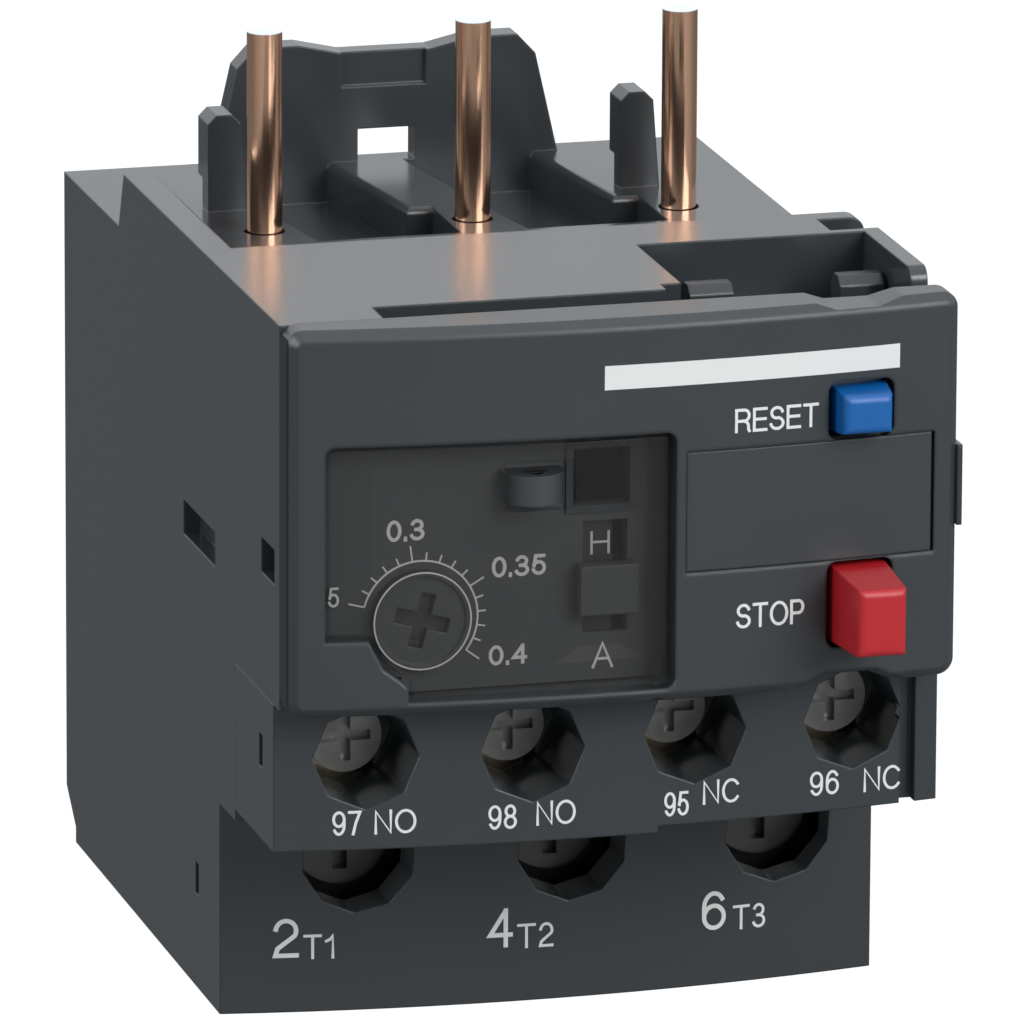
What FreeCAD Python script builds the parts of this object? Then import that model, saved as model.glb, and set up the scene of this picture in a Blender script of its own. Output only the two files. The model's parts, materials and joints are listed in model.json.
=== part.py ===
import FreeCAD, Part
import math
import os
import Sketcher

# Thermal overload relay with three plug-in pins, a convex front and a hinged window over the settings.
# +X is the relay's right, +Y its rear and +Z up; the origin is under the middle of its base.
# Every length is in millimetres. A "reach" is a distance forward of the origin, towards -Y.

SIZES = {
    "body_width": 45.0,
    "rear_reach": 34.7,
    "platform_top": 47.2,
    "housing_top": 51.1,
    "wall": 2.0,
    "rear_foot_height": 3.4,
    "rear_foot_setback": 2.75,
    "rear_foot_step": 1.1,
    "rim_rear": 18.6,
    "rim_slope": 1.5,
    "rim_width": 2.0,
    "block_reach": 4.8,
    "block_setback": 3.3,
    "lug_thickness": 1.6,
    "recess_reach": 10.3,
    "recess_rear_wall": 0.7,
    "recess_left": 5.65,
    "recess_wall": 1.15,
    "recess_floor": 46.3,
    "recess_wall_inset": 9.1,
    "clip_width": 3.0,
    "clip_depth": 2.2,
    "clip_height": 3.2,
    "clip_inset": 14.0,
    "clip_left": 7.7,
    "clip_margin": 4.5,
    "clip_slot": 0.6,
    "lug_round": 1.0,
    "band_inset": 7.6,
    "band_left": 15.5,
    "band_floor": 48.6,
    "band_step": 1.4,
    "seat_inset": 4.2,
    "shelf_height": 25.4,
    "chamber_top": 42.3,
    "bulkhead_reach": 10.5,
    "bulkhead_wall": 2.5,
    "floor_wall": 2.5,
    "plate_ledge": 1.5,
    "front_chamber_top": 45.2,
    "passage_margin": 7.5,
    "passage_low": 33.0,
    "passage_high": 40.0,
    "partition": 1.2,
    "pole_margin": 1.5,
    "pole_shift": 1.2,
    "pin_rear": 14.8,
    "pin_radius": 1.2,
    "pin_root_radius": 1.0,
    "pin_top": 61.0,
    "pin_foot": 37.5,
    "pin_clearance": 0.2,
    "scoop_gap": 5.4,
    "scoop_front": 11.1,
    "scoop_jog": 18.5,
    "scoop_skew": 2.0,
    "scoop_step": 1.8,
    "scoop_floor": 44.4,
    "scoop_round": 2.2,
    "ridge_round": 0.5,
    "hook_margin": 2.3,
    "hook_lean": 1.6,
    "hook_tip_lean": 2.9,
    "hook_shift": 0.15,
    "hook_shoulder": 54.2,
    "hook_top": 55.6,
    "hook_dip": 0.7,
    "hook_dip_width": 6.2,
    "hook_thickness": 2.0,
    "hook_window_width": 4.1,
    "hook_window_height": 2.3,
    "hook_relief_left": 3.35,
    "hook_relief_right": 2.65,
    "hook_relief_low": 52.5,
    "hook_relief_depth": 0.4,
    "tab_shift": 1.3,
    "tab_width": 2.3,
    "tab_depth": 1.6,
    "tab_nose": 1.2,
    "tab_front": 20.75,
    "tab_height": 6.7,
    "tab_chamfer": 0.6,
    "tab_lean": 0.5,
    "tab_notch": 2.1,
    "power_reach": 11.7,
    "power_bulge": 2.0,
    "overhang_height": 14.6,
    "power_hole_radius": 3.85,
    "power_hole_height": 10.6,
    "power_wire_width": 7.0,
    "power_wire_depth": 7.0,
    "power_wire_rear": 4.0,
    "side_slot_rear": 0.2,
    "side_slot_length": 8.8,
    "side_slot_low": 30.5,
    "side_slot_height": 2.35,
    "latch_slot_inset": 9.0,
    "latch_slot_length": 3.5,
    "latch_slot_low": 33.5,
    "slot_depth": 1.2,
    "slit_reach": 3.0,
    "slit_length": 0.9,
    "slit_low": 6.5,
    "slit_height": 2.2,
    "cover_reach": 30.1,
    "cover_bulge": 1.8,
    "cover_wall": 2.0,
    "cover_low": 25.4,
    "cover_top": 51.2,
    "cover_corner": 1.1,
    "cover_edge": 0.6,
    "window_corner": 0.7,
    "cover_dip": 0.45,
    "cover_dip_width": 6.1,
    "button_margin": 6.9,
    "arch_margin": 7.5,
    "arch_width": 8.0,
    "arch_rise": 1.1,
    "window_margin": 2.35,
    "window_right": 2.95,
    "window_low": 26.3,
    "window_high": 43.5,
    "window_notch_width": 5.4,
    "window_notch_height": 4.2,
    "marker_left": 3.6,
    "marker_margin": 1.7,
    "marker_low": 34.0,
    "marker_high": 42.1,
    "marker_depth": 0.8,
    "reset_width": 4.6,
    "reset_low": 42.1,
    "reset_height": 3.9,
    "stop_width": 4.6,
    "stop_low": 28.1,
    "stop_height": 5.85,
    "button_gap": 0.35,
    "button_taper": 0.35,
    "button_corner": 0.45,
    "button_hole_corner": 0.7,
    "button_root_inset": 2.5,
    "button_face_inset": 1.0,
    "reset_stand": 1.9,
    "stop_stand": 5.6,
    "button_ear": 0.6,
    "ear_height": 1.7,
    "ear_inset": 3.5,
    "ear_thickness": 1.2,
    "stem_drop": 0.5,
    "stem_radius": 0.75,
    "stem_end_inset": 9.4,
    "guide_inset": 8.5,
    "guide_wall": 1.2,
    "guide_margin": 11.0,
    "spring_radius": 1.1,
    "spring_wire": 0.18,
    "spring_turns": 3.0,
    "side_catch_low": 35.5,
    "side_catch_height": 5.4,
    "side_catch_depth": 3.7,
    "side_catch_stand": 0.35,
    "fit_gap": 0.3,
    "seat_gap": 0.05,
    "lid_inset": 0.2,
    "lid_thickness": 0.9,
    "hinge_radius": 0.75,
    "hinge_pin_radius": 0.4,
    "plate_inset": 3.1,
    "plate_right": 5.0,
    "dial_margin": 9.1,
    "dial_rise": 2.4,
    "dial_radius": 3.3,
    "dial_head": 0.7,
    "dial_turn": 15.0,
    "dial_rim": 0.35,
    "dial_shaft_radius": 1.3,
    "dial_cam_radius": 1.5,
    "dial_cam_offset": 0.5,
    "dial_cam_thickness": 1.5,
    "dial_rear_inset": 9.6,
    "cross_length": 3.7,
    "cross_width": 1.0,
    "cross_depth": 0.5,
    "selector_x": 1.0,
    "selector_width": 3.9,
    "selector_height": 3.3,
    "selector_middle": 32.7,
    "selector_slot_width": 0.8,
    "selector_slot_low": 29.6,
    "selector_slot_high": 37.1,
    "selector_well_width": 3.0,
    "well_depth": 0.5,
    "selector_stem_half": 0.25,
    "selector_head": 1.2,
    "keeper_thickness": 0.8,
    "flag_window_x": 1.3,
    "flag_window_low": 38.2,
    "flag_window_size": 3.8,
    "flag_frame": 0.5,
    "staple_x": 6.1,
    "staple_width": 4.0,
    "staple_low": 39.0,
    "staple_height": 2.0,
    "staple_hole": 0.5,
    "staple_opening": 1.0,
    "aux_inset": 4.0,
    "aux_bulge": 1.8,
    "aux_low": 15.4,
    "aux_step": 0.45,
    "aux_step_x": 3.0,
    "aux_back_reach": 14.0,
    "aux_margin": 1.0,
    "aux_hole_radius": 3.5,
    "aux_hole_height": 21.6,
    "aux_back_wall": 4.1,
    "aux_wire_width": 4.6,
    "aux_wire_depth": 3.4,
    "aux_groove_margin": 2.1,
    "aux_groove_width": 1.1,
    "aux_groove_depth": 0.7,
    "aux_slit_inset": 8.7,
    "aux_slit_low": 20.3,
    "screw_head_radius": 2.45,
    "screw_head_length": 1.6,
    "screw_shaft_radius": 1.3,
    "screw_slot_length": 3.4,
    "screw_slot_width": 0.7,
    "screw_slot_depth": 0.8,
    "clamp_thickness": 0.8,
    "aux_clamp_half": 2.3,
    "terminal_width": 3.0,
    "terminal_thickness": 0.6,
    "terminal_shift": 1.15,
    "terminal_rise": 1.6,
    "power_screw_head_radius": 3.3,
    "power_screw_head_length": 1.8,
    "power_screw_shaft_radius": 1.9,
    "power_slot_length": 4.6,
    "power_slot_width": 1.0,
    "power_slot_depth": 1.1,
    "power_screw_length": 6.0,
    "power_clamp_wall": 1.1,
    "power_clamp_half": 4.2,
    "power_clamp_front": 4.0,
    "power_clamp_low": 2.8,
    "power_clamp_high": 14.4,
    "bar_thickness": 0.8,
    "bar_half": 2.6,
    "bimetal_y": 8.0,
    "bimetal_width": 5.0,
    "bimetal_thickness": 0.8,
    "bimetal_low": 15.5,
    "bimetal_top": 38.4,
    "lug_gap": 1.5,
    "lug_half": 1.8,
    "heater_low": 18.5,
    "heater_turns": 6.0,
    "heater_pitch": 1.7,
    "heater_wire": 0.9,
    "slider_front": 2.0,
    "slider_low": 33.5,
    "slider_height": 2.4,
    "slider_thickness": 1.6,
    "slider_travel": 2.0,
    "slider_finger": 1.2,
    "lever_x": 1.5,
    "lever_half": 0.7,
    "lever_low": 37.6,
    "lever_height": 1.5,
    "lever_hub": 1.3,
    "lever_pin_radius": 0.5,
    "flag_width": 3.2,
    "flag_setback": 1.3,
    "contact_rise": 5.6,
    "contact_travel": 1.0,
    "bridge_thickness": 0.8,
    "bridge_half": 1.0,
    "carrier_half": 1.6,
    "carrier_thickness": 1.2,
}


class Dim:
    """A length with its number and the sheet expression that it comes from."""

    def __init__(self, number, text):
        self.number = number
        self.text = text

    def __add__(self, other):
        other = as_dim(other)
        return Dim(self.number + other.number, "(%s + %s)" % (self.text, other.text))

    def __sub__(self, other):
        other = as_dim(other)
        return Dim(self.number - other.number, "(%s - %s)" % (self.text, other.text))

    def __radd__(self, other):
        return as_dim(other) + self

    def __rsub__(self, other):
        return as_dim(other) - self

    def __mul__(self, other):
        other = as_dim(other)
        return Dim(self.number * other.number, "(%s * %s)" % (self.text, other.text))

    def __truediv__(self, other):
        other = as_dim(other)
        return Dim(self.number / other.number, "(%s / %s)" % (self.text, other.text))

    def __neg__(self):
        return Dim(-self.number, "(0 - %s)" % self.text)


def as_dim(value):
    """Plain numbers become lengths with no name."""
    if isinstance(value, Dim):
        return value
    return Dim(float(value), "%.6g" % value)


doc = FreeCAD.newDocument("Relay")
sheet = doc.addObject("Spreadsheet::Sheet", "Sizes")
for row, (size_name, size_value) in enumerate(SIZES.items(), start=1):
    sheet.set("A%d" % row, size_name)
    sheet.set("B%d" % row, str(size_value))
    sheet.setAlias("B%d" % row, size_name)
doc.recompute()


def size(name):
    """The named size, as a number and as a link to its cell."""
    return Dim(SIZES[name], "Sizes." + name)


def bind(target, prop, dim):
    """Ties one property of an object to the sheet."""
    target.setExpression(prop, as_dim(dim).text)


NODES = []


def node(target, name):
    """Marks a finished piece and gives it the name of its file."""
    target.Label = name
    NODES.append(target)
    return target


# Part primitives

def box(name, x, y, z):
    """A block between two corners; each of x, y and z is a pair of limits."""
    solid = doc.addObject("Part::Box", name)
    for side, axis, (low, high) in zip(("Length", "Width", "Height"), "xyz", (x, y, z)):
        bind(solid, side, as_dim(high) - low)
        bind(solid, "Placement.Base." + axis, low)
    return solid


TURNS = {
    "z": FreeCAD.Rotation(),
    "y": FreeCAD.Rotation(FreeCAD.Vector(1, 0, 0), -90),
    "x": FreeCAD.Rotation(FreeCAD.Vector(0, 1, 0), 90),
}


def cylinder(name, radius, length, start, axis="z"):
    """A round bar from the middle of its first end, along +X, +Y or +Z."""
    solid = doc.addObject("Part::Cylinder", name)
    solid.Placement = FreeCAD.Placement(FreeCAD.Vector(), TURNS[axis])
    bind(solid, "Radius", radius)
    bind(solid, "Height", length)
    for letter, place in zip("xyz", start):
        bind(solid, "Placement.Base." + letter, place)
    return solid


def fuse(name, shapes):
    joined = doc.addObject("Part::MultiFuse", name)
    joined.Shapes = shapes
    joined.Refine = True
    return joined


def cut(name, base, tools):
    """The base with every tool taken away."""
    tool = tools[0] if len(tools) == 1 else fuse(name + "Tools", tools)
    result = doc.addObject("Part::Cut", name)
    result.Base = base
    result.Tool = tool
    result.Refine = True
    return result


def common(name, base, tool):
    result = doc.addObject("Part::Common", name)
    result.Base = base
    result.Tool = tool
    return result


# Bodies made from sketches

def new_body(name):
    return doc.addObject("PartDesign::Body", name)


def plane_of(body, role):
    for feature in body.Origin.OriginFeatures:
        if feature.Role == role:
            return feature
    raise ValueError(role)


def sketch_on(body, name, role, offset=0):
    """An empty sketch on one of the body's planes, moved along the plane's normal."""
    sketch = body.newObject("Sketcher::SketchObject", name)
    sketch.AttachmentSupport = [(plane_of(body, role), "")]
    sketch.MapMode = "FlatFace"
    bind(sketch, "AttachmentOffset.Base.z", offset)
    return sketch


def pin_point(sketch, geometry, end, place, name):
    """Ties one end of an edge to its two coordinates."""
    for kind, letter, dim in zip(("DistanceX", "DistanceY"), "uv", place):
        index = sketch.addConstraint(Sketcher.Constraint(kind, -1, 1, geometry, end, dim.number))
        sketch.renameConstraint(index, name + letter)
        bind(sketch, "Constraints." + name + letter, dim)


def loop(sketch, corners, bulges=None):
    """A closed outline; bulges gives the rise of an arc to the right of an edge, by its first corner."""
    bulges = bulges or {}
    corners = [(as_dim(u), as_dim(v)) for u, v in corners]
    points = [FreeCAD.Vector(u.number, v.number, 0) for u, v in corners]
    first = sketch.GeometryCount
    count = len(points)
    ends = []
    for index, start in enumerate(points):
        stop = points[(index + 1) % count]
        if index in bulges:
            rise = bulges[index]
            along = (stop - start).normalize()
            middle = (start + stop) / 2 + FreeCAD.Vector(along.y, -along.x, 0) * rise.number
            arc = Part.ArcOfCircle(start, middle, stop)
            sketch.addGeometry(arc, False)
            turned = arc.StartPoint.distanceToPoint(start) > arc.EndPoint.distanceToPoint(start)
            ends.append((2, 1) if turned else (1, 2))
        else:
            sketch.addGeometry(Part.LineSegment(start, stop), False)
            ends.append((1, 2))
    for index in range(count):
        after = (index + 1) % count
        sketch.addConstraint(
            Sketcher.Constraint("Coincident", first + index, ends[index][1], first + after, ends[after][0])
        )
    for index, place in enumerate(corners):
        pin_point(sketch, first + index, ends[index][0], place, "p%d_" % (first + index))
    for index, rise in bulges.items():
        after = (index + 1) % count
        half = (corners[after][0] - corners[index][0]) / 2
        radius = (half * half + rise * rise) / (rise * 2)
        number = sketch.addConstraint(Sketcher.Constraint("Radius", first + index, radius.number))
        sketch.renameConstraint(number, "r%d" % (first + index))
        bind(sketch, "Constraints.r%d" % (first + index), radius)
    return sketch


def rectangle(sketch, u, v):
    """A box outline between two limits each way."""
    return loop(sketch, [(u[0], v[0]), (u[1], v[0]), (u[1], v[1]), (u[0], v[1])])


def many_sided(sketch, centre, radius, count, turn=0.0):
    """A regular outline inside a circle; turn is the angle of its first corner in degrees."""
    corners = []
    for number in range(count):
        angle = math.radians(turn + 360 * number / count)
        corners.append((centre[0] + radius * math.cos(angle), centre[1] + radius * math.sin(angle)))
    return loop(sketch, corners)


def circle(sketch, centre, radius):
    """A circle at a tied place with a tied radius."""
    centre = (as_dim(centre[0]), as_dim(centre[1]))
    radius = as_dim(radius)
    middle = FreeCAD.Vector(centre[0].number, centre[1].number, 0)
    index = sketch.addGeometry(Part.Circle(middle, FreeCAD.Vector(0, 0, 1), radius.number), False)
    pin_point(sketch, index, 3, centre, "c%d_" % index)
    number = sketch.addConstraint(Sketcher.Constraint("Radius", index, radius.number))
    sketch.renameConstraint(number, "r%d" % index)
    bind(sketch, "Constraints.r%d" % index, radius)
    return sketch


def pad(body, name, sketch, length, middle=False, backwards=False):
    feature = body.newObject("PartDesign::Pad", name)
    feature.Profile = sketch
    feature.Midplane = middle
    feature.Reversed = backwards
    bind(feature, "Length", length)
    return feature


def picked_edges(feature, test):
    """The names of a feature's edges whose two ends pass a test."""
    doc.recompute()
    names = []
    for number, edge in enumerate(feature.Shape.Edges, start=1):
        points = [vertex.Point for vertex in edge.Vertexes]
        if len(points) == 2 and test(points[0], points[1], feature.Shape.BoundBox):
            names.append("Edge%d" % number)
    return names


def round_edges(body, name, feature, radius, test):
    rounding = body.newObject("PartDesign::Fillet", name)
    rounding.Base = (feature, picked_edges(feature, test))
    bind(rounding, "Radius", radius)
    return rounding


def bevel_edges(body, name, feature, width, test):
    bevel = body.newObject("PartDesign::Chamfer", name)
    bevel.Base = (feature, picked_edges(feature, test))
    bind(bevel, "Size", width)
    return bevel


def is_corner_along_y(start, stop, box_limits):
    straight = abs(start.x - stop.x) < 1e-6 and abs(start.z - stop.z) < 1e-6
    return straight and abs(start.x) > box_limits.XMax - 1e-3


def is_cover_front(start, stop, box_limits):
    """Both ends on the arc of the cover's front."""
    radius = COVER_RADIUS.number
    centre = radius - SIZES["cover_reach"]
    return all(abs(math.hypot(point.x, point.y - centre) - radius) < 1e-3 for point in (start, stop))


def is_window_corner(start, stop, box_limits):
    """Three of the window's four corners, which run from front to back."""
    straight = abs(start.x - stop.x) < 1e-3 and abs(start.z - stop.z) < 1e-3
    left = -WINDOW_LEFT.number
    right = SIZES["window_right"]
    upper_left = abs(start.x - left) < 0.4 and abs(start.z - SIZES["window_high"]) < 0.4
    upper_right = abs(start.x - right) < 0.4 and abs(start.z - SIZES["window_high"]) < 0.4
    lower_right = abs(start.x - right) < 0.4 and abs(start.z - SIZES["window_low"]) < 0.4
    return straight and (upper_left or upper_right or lower_right)


def is_hole_corner(bottom, height):
    """A test for the corners of a button's hole, which run from front to back."""
    heights = (bottom.number, (bottom + height).number)
    left = BUTTON_X.number - SIZES["reset_width"]

    def test(start, stop, box_limits):
        straight = abs(start.x - stop.x) < 1e-3 and abs(start.z - stop.z) < 1e-3
        at_corner = min(abs(start.z - height) for height in heights) < 1e-3
        return straight and at_corner and start.x > left and start.x < box_limits.XMax - 2
    return test


def is_front_edge(start, stop, box_limits):
    return max(start.y, stop.y) < box_limits.YMin + 1e-3


def pocket(body, name, sketch, length, along_normal=False):
    """Cuts against the sketch plane's normal, or along it."""
    feature = body.newObject("PartDesign::Pocket", name)
    feature.Profile = sketch
    feature.Reversed = along_normal
    bind(feature, "Length", length)
    return feature


# Values that several pieces share

HALF = size("body_width") / 2
REAR = size("rear_reach")
INNER = HALF - size("wall")
SEAT_REACH = size("cover_reach") - size("seat_inset")
PLATE_REACH = size("cover_reach") - size("plate_inset")
BUTTON_ROOT = size("cover_reach") - size("button_root_inset")
BUTTON_FACE = size("cover_reach") - size("button_face_inset")
EAR_REACH = size("cover_reach") - size("ear_inset")
STEM_END = size("cover_reach") - size("stem_end_inset")
GUIDE_REACH = size("cover_reach") - size("guide_inset")
DIAL_REAR = size("cover_reach") - size("dial_rear_inset")
BAND_REACH = size("cover_reach") - size("band_inset")
RECESS_WALL_REACH = size("cover_reach") - size("recess_wall_inset")
CLIP_REACH = size("cover_reach") - size("clip_inset")
LATCH_SLOT_REACH = size("cover_reach") - size("latch_slot_inset")
AUX_REACH = size("cover_reach") - size("aux_inset")
AUX_SLIT_REACH = size("cover_reach") - size("aux_slit_inset")
WINDOW_LEFT = HALF - size("window_margin")
BUTTON_X = HALF - size("button_margin")
ARCH_X = HALF - size("arch_margin")
MARKER_RIGHT = HALF - size("marker_margin")
DIAL_X = HALF - size("dial_margin")
GUIDE_LEFT = HALF - size("guide_margin")
AUX_GROOVE_X = HALF - size("aux_groove_margin")
SEAT = -SEAT_REACH
PLATE_FRONT = -PLATE_REACH
POLE_PITCH = (size("body_width") - size("pole_margin")) / 3
AUX_PITCH = (size("body_width") - size("aux_margin")) / 4
CHAMBER_FRONT = size("bulkhead_wall") - size("bulkhead_reach")
LEDGE_HALF = INNER - size("plate_ledge")
FRONT_CHAMBER_LOW = size("shelf_height") + size("wall") + size("plate_ledge")
DIAL_HEIGHT = FRONT_CHAMBER_LOW + size("dial_rise")
CONTACT_HEIGHT = FRONT_CHAMBER_LOW + size("contact_rise")
TERMINAL_REACH = (GUIDE_REACH - size("guide_wall") + size("bulkhead_reach")) / 2 + size("terminal_shift")
AUX_BORE_END = -size("aux_back_reach") - size("aux_back_wall")
POLES = [size("pole_shift") + POLE_PITCH * (number - 1) for number in range(3)]
AUX_MARKS = ("97", "98", "95", "96")
AUX_PLACES = [AUX_PITCH * (number - 1.5) for number in range(4)]
AUX_HEIGHTS = [size("aux_hole_height") + size("aux_step") * (number // 2) for number in range(4)]
COVER_RADIUS = (HALF * HALF + size("cover_bulge") * size("cover_bulge")) / (size("cover_bulge") * 2)
RESET_MIDDLE = size("reset_low") + size("reset_height") / 2
STOP_MIDDLE = size("stop_low") + size("stop_height") / 2


def front_profile(body, name, low, reach, bulge, half, back):
    """A plan outline whose front is an arc between two upright sides."""
    sides = bulge - reach
    return loop(
        sketch_on(body, name, "XY_Plane", low),
        [(-half, sides), (half, sides), (half, back), (-half, back)],
        {0: bulge},
    )


def curved_slab(name, x, z, outer, inner):
    """A slab that follows the cover's face, between two depths below that face."""
    axis_y = COVER_RADIUS - size("cover_reach")
    low, high = z
    block = box(name + "Block", x, (-size("cover_reach") - 1, SEAT), z)
    tall = high - low
    round_outer = cylinder(name + "Outer", COVER_RADIUS - outer, tall + 2, (0, axis_y, low - 1))
    round_inner = cylinder(name + "Inner", COVER_RADIUS - inner, tall + 4, (0, axis_y, low - 2))
    shell = common(name + "Shell", block, round_outer)
    return cut(name, shell, [round_inner])


# Housing

def housing_shell(body):
    """The side outline, and the plan cuts that shape the front, top and steps."""
    setback = REAR - size("rear_foot_setback")
    back = -size("aux_back_reach")
    front = -size("power_reach")
    side = loop(sketch_on(body, "HousingSide", "YZ_Plane"), [
        (setback, 0),
        (setback, size("rear_foot_step")),
        (REAR, size("rear_foot_height")),
        (REAR, size("platform_top")),
        (size("rim_rear"), size("platform_top")),
        (size("rim_rear") - size("rim_slope"), size("housing_top")),
        (SEAT, size("housing_top")),
        (SEAT, size("shelf_height")),
        (back, size("shelf_height")),
        (back, size("overhang_height")),
        (front, size("overhang_height")),
        (front, 0),
    ])
    pad(body, "HousingBlock", side, size("body_width"), middle=True)
    sides = size("power_bulge") - size("power_reach")
    face = loop(
        sketch_on(body, "PowerFaceCut", "XY_Plane"),
        [(-HALF, sides), (HALF, sides), (HALF, front - 1), (-HALF, front - 1)],
        {0: size("power_bulge")},
    )
    pocket(body, "PowerFace", face, size("overhang_height"), along_normal=True)


def housing_top(body):
    """The pins' sunken platform, the side notch behind the lug, the open recess and the front band."""
    top = size("housing_top")
    floor = size("platform_top")
    platform = sketch_on(body, "PlatformCut", "XY_Plane", floor)
    rectangle(platform, (size("rim_width") - HALF, HALF + 1), (-size("block_reach"), REAR + 1))
    pocket(body, "Platform", platform, top - floor + 1, along_normal=True)
    notch = sketch_on(body, "SideNotchCut", "XY_Plane", floor)
    lug = -size("block_reach") - size("lug_thickness")
    notch_front = size("recess_rear_wall") - size("recess_reach")
    rectangle(notch, (HALF - size("block_setback"), HALF + 1), (notch_front, lug))
    pocket(body, "SideNotch", notch, top - floor + 1, along_normal=True)
    recess = sketch_on(body, "RecessCut", "XY_Plane", size("recess_floor"))
    rectangle(recess, (size("recess_left"), HALF - size("recess_wall")), (SEAT - 1, -size("recess_reach")))
    pocket(body, "Recess", recess, top - size("recess_floor") + 1, along_normal=True)
    band = sketch_on(body, "BandCut", "XY_Plane", size("band_floor"))
    step = size("band_step")
    loop(band, [
        (-size("band_left"), SEAT - 1),
        (size("recess_left") + 0.01, SEAT - 1),
        (size("recess_left") + 0.01, step - BAND_REACH),
        (size("recess_left") - step, step - BAND_REACH),
        (size("recess_left") - step, -BAND_REACH),
        (-size("band_left"), -BAND_REACH),
    ])
    pocket(body, "Band", band, top - size("band_floor") + 1, along_normal=True)
    corner = sketch_on(body, "RecessWallCut", "XY_Plane", size("recess_floor"))
    rectangle(corner, (HALF - size("recess_wall") - 0.01, HALF + 1), (SEAT - 1, -RECESS_WALL_REACH))
    cut_down = pocket(body, "RecessWallEnd", corner, top - size("recess_floor") + 1, along_normal=True)
    round_edges(body, "LugRounding", cut_down, size("lug_round"), is_lug_corner)


def is_lug_corner(start, stop, limits):
    """The upper outer corner of the lug, and the upper front corner of the recess's right wall."""
    top = SIZES["housing_top"]
    level = abs(start.z - top) < 1e-3 and abs(stop.z - top) < 1e-3
    side = abs(start.x - limits.XMax) < 1e-3 and abs(stop.x - limits.XMax) < 1e-3
    lug_front = -SIZES["block_reach"] - SIZES["lug_thickness"] - 1e-3
    along_lug = side and start.y > lug_front and stop.y > lug_front
    wall_front = -RECESS_WALL_REACH.number
    across_wall = abs(start.y - wall_front) < 1e-3 and abs(stop.y - wall_front) < 1e-3 and start.x > 20
    return level and (along_lug or across_wall)


def housing_clips(body):
    """Two small slotted clips that stand on the recess's floor."""
    floor = size("recess_floor")
    rear = size("clip_depth") - CLIP_REACH
    wide = size("clip_width")
    tall = size("clip_height")
    slot = size("clip_slot")
    for number, left in enumerate((size("clip_left"), HALF - size("clip_margin")), start=1):
        name = "Clip%d" % number
        outline = loop(sketch_on(body, name + "Outline", "YZ_Plane", left), [
            (-CLIP_REACH, floor - 0.5),
            (rear, floor - 0.5),
            (rear, floor + tall - slot),
            (rear - slot, floor + tall),
            (slot - CLIP_REACH, floor + tall),
            (-CLIP_REACH, floor + tall - slot),
        ])
        pad(body, name, outline, wide)
        hole = sketch_on(body, name + "SlotCut", "XZ_Plane", CLIP_REACH + 0.5)
        rectangle(hole, (left + slot, left + wide - slot), (floor + slot * 2, floor + slot * 3))
        pocket(body, name + "Slot", hole, slot + 0.5)


def housing_chambers(body):
    """The rear chamber, the front chamber and the passage between them."""
    rear = sketch_on(body, "RearChamberCut", "XZ_Plane", -REAR)
    rectangle(rear, (-INNER, INNER), (size("floor_wall"), size("chamber_top")))
    pocket(body, "RearChamber", rear, REAR - CHAMBER_FRONT, along_normal=True)
    front = sketch_on(body, "FrontChamberCut", "XZ_Plane", SEAT_REACH)
    rectangle(front, (-LEDGE_HALF, LEDGE_HALF), (FRONT_CHAMBER_LOW, size("front_chamber_top")))
    pocket(body, "FrontChamber", front, SEAT_REACH - size("bulkhead_reach"))
    passage = sketch_on(body, "PassageCut", "XZ_Plane", size("bulkhead_reach") + 0.5)
    half = HALF - size("passage_margin")
    rectangle(passage, (-half, half), (size("passage_low"), size("passage_high")))
    pocket(body, "Passage", passage, size("bulkhead_wall") + 1)


def housing_ribs(body):
    """Walls between the poles, notched for the sliders, and the guide wall behind the buttons."""
    stop = REAR - size("wall")
    low = size("floor_wall")
    top = size("chamber_top")
    notch_low = size("slider_low") - 0.6
    notch_front = size("slider_front") - 0.6
    for number in range(2):
        x = (POLES[number] + POLES[number + 1]) / 2
        wall = loop(sketch_on(body, "Partition%dOutline" % (number + 1), "YZ_Plane", x), [
            (CHAMBER_FRONT, low),
            (stop, low),
            (stop, notch_low),
            (notch_front, notch_low),
            (notch_front, top),
            (CHAMBER_FRONT, top),
        ])
        pad(body, "Partition%d" % (number + 1), wall, size("partition"), middle=True)
    guide = sketch_on(body, "ButtonGuideOutline", "XZ_Plane", GUIDE_REACH - size("guide_wall"))
    rectangle(guide, (GUIDE_LEFT, LEDGE_HALF), (FRONT_CHAMBER_LOW, size("front_chamber_top")))
    pad(body, "ButtonGuide", guide, size("guide_wall"))
    holes = sketch_on(body, "ButtonGuideHoles", "XZ_Plane", GUIDE_REACH + 0.5)
    for middle in (RESET_MIDDLE, STOP_MIDDLE):
        circle(holes, (BUTTON_X, middle - size("stem_drop")), size("stem_radius") + size("seat_gap") * 2)
    pocket(body, "ButtonGuideBores", holes, size("guide_wall") + 1)


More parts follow.
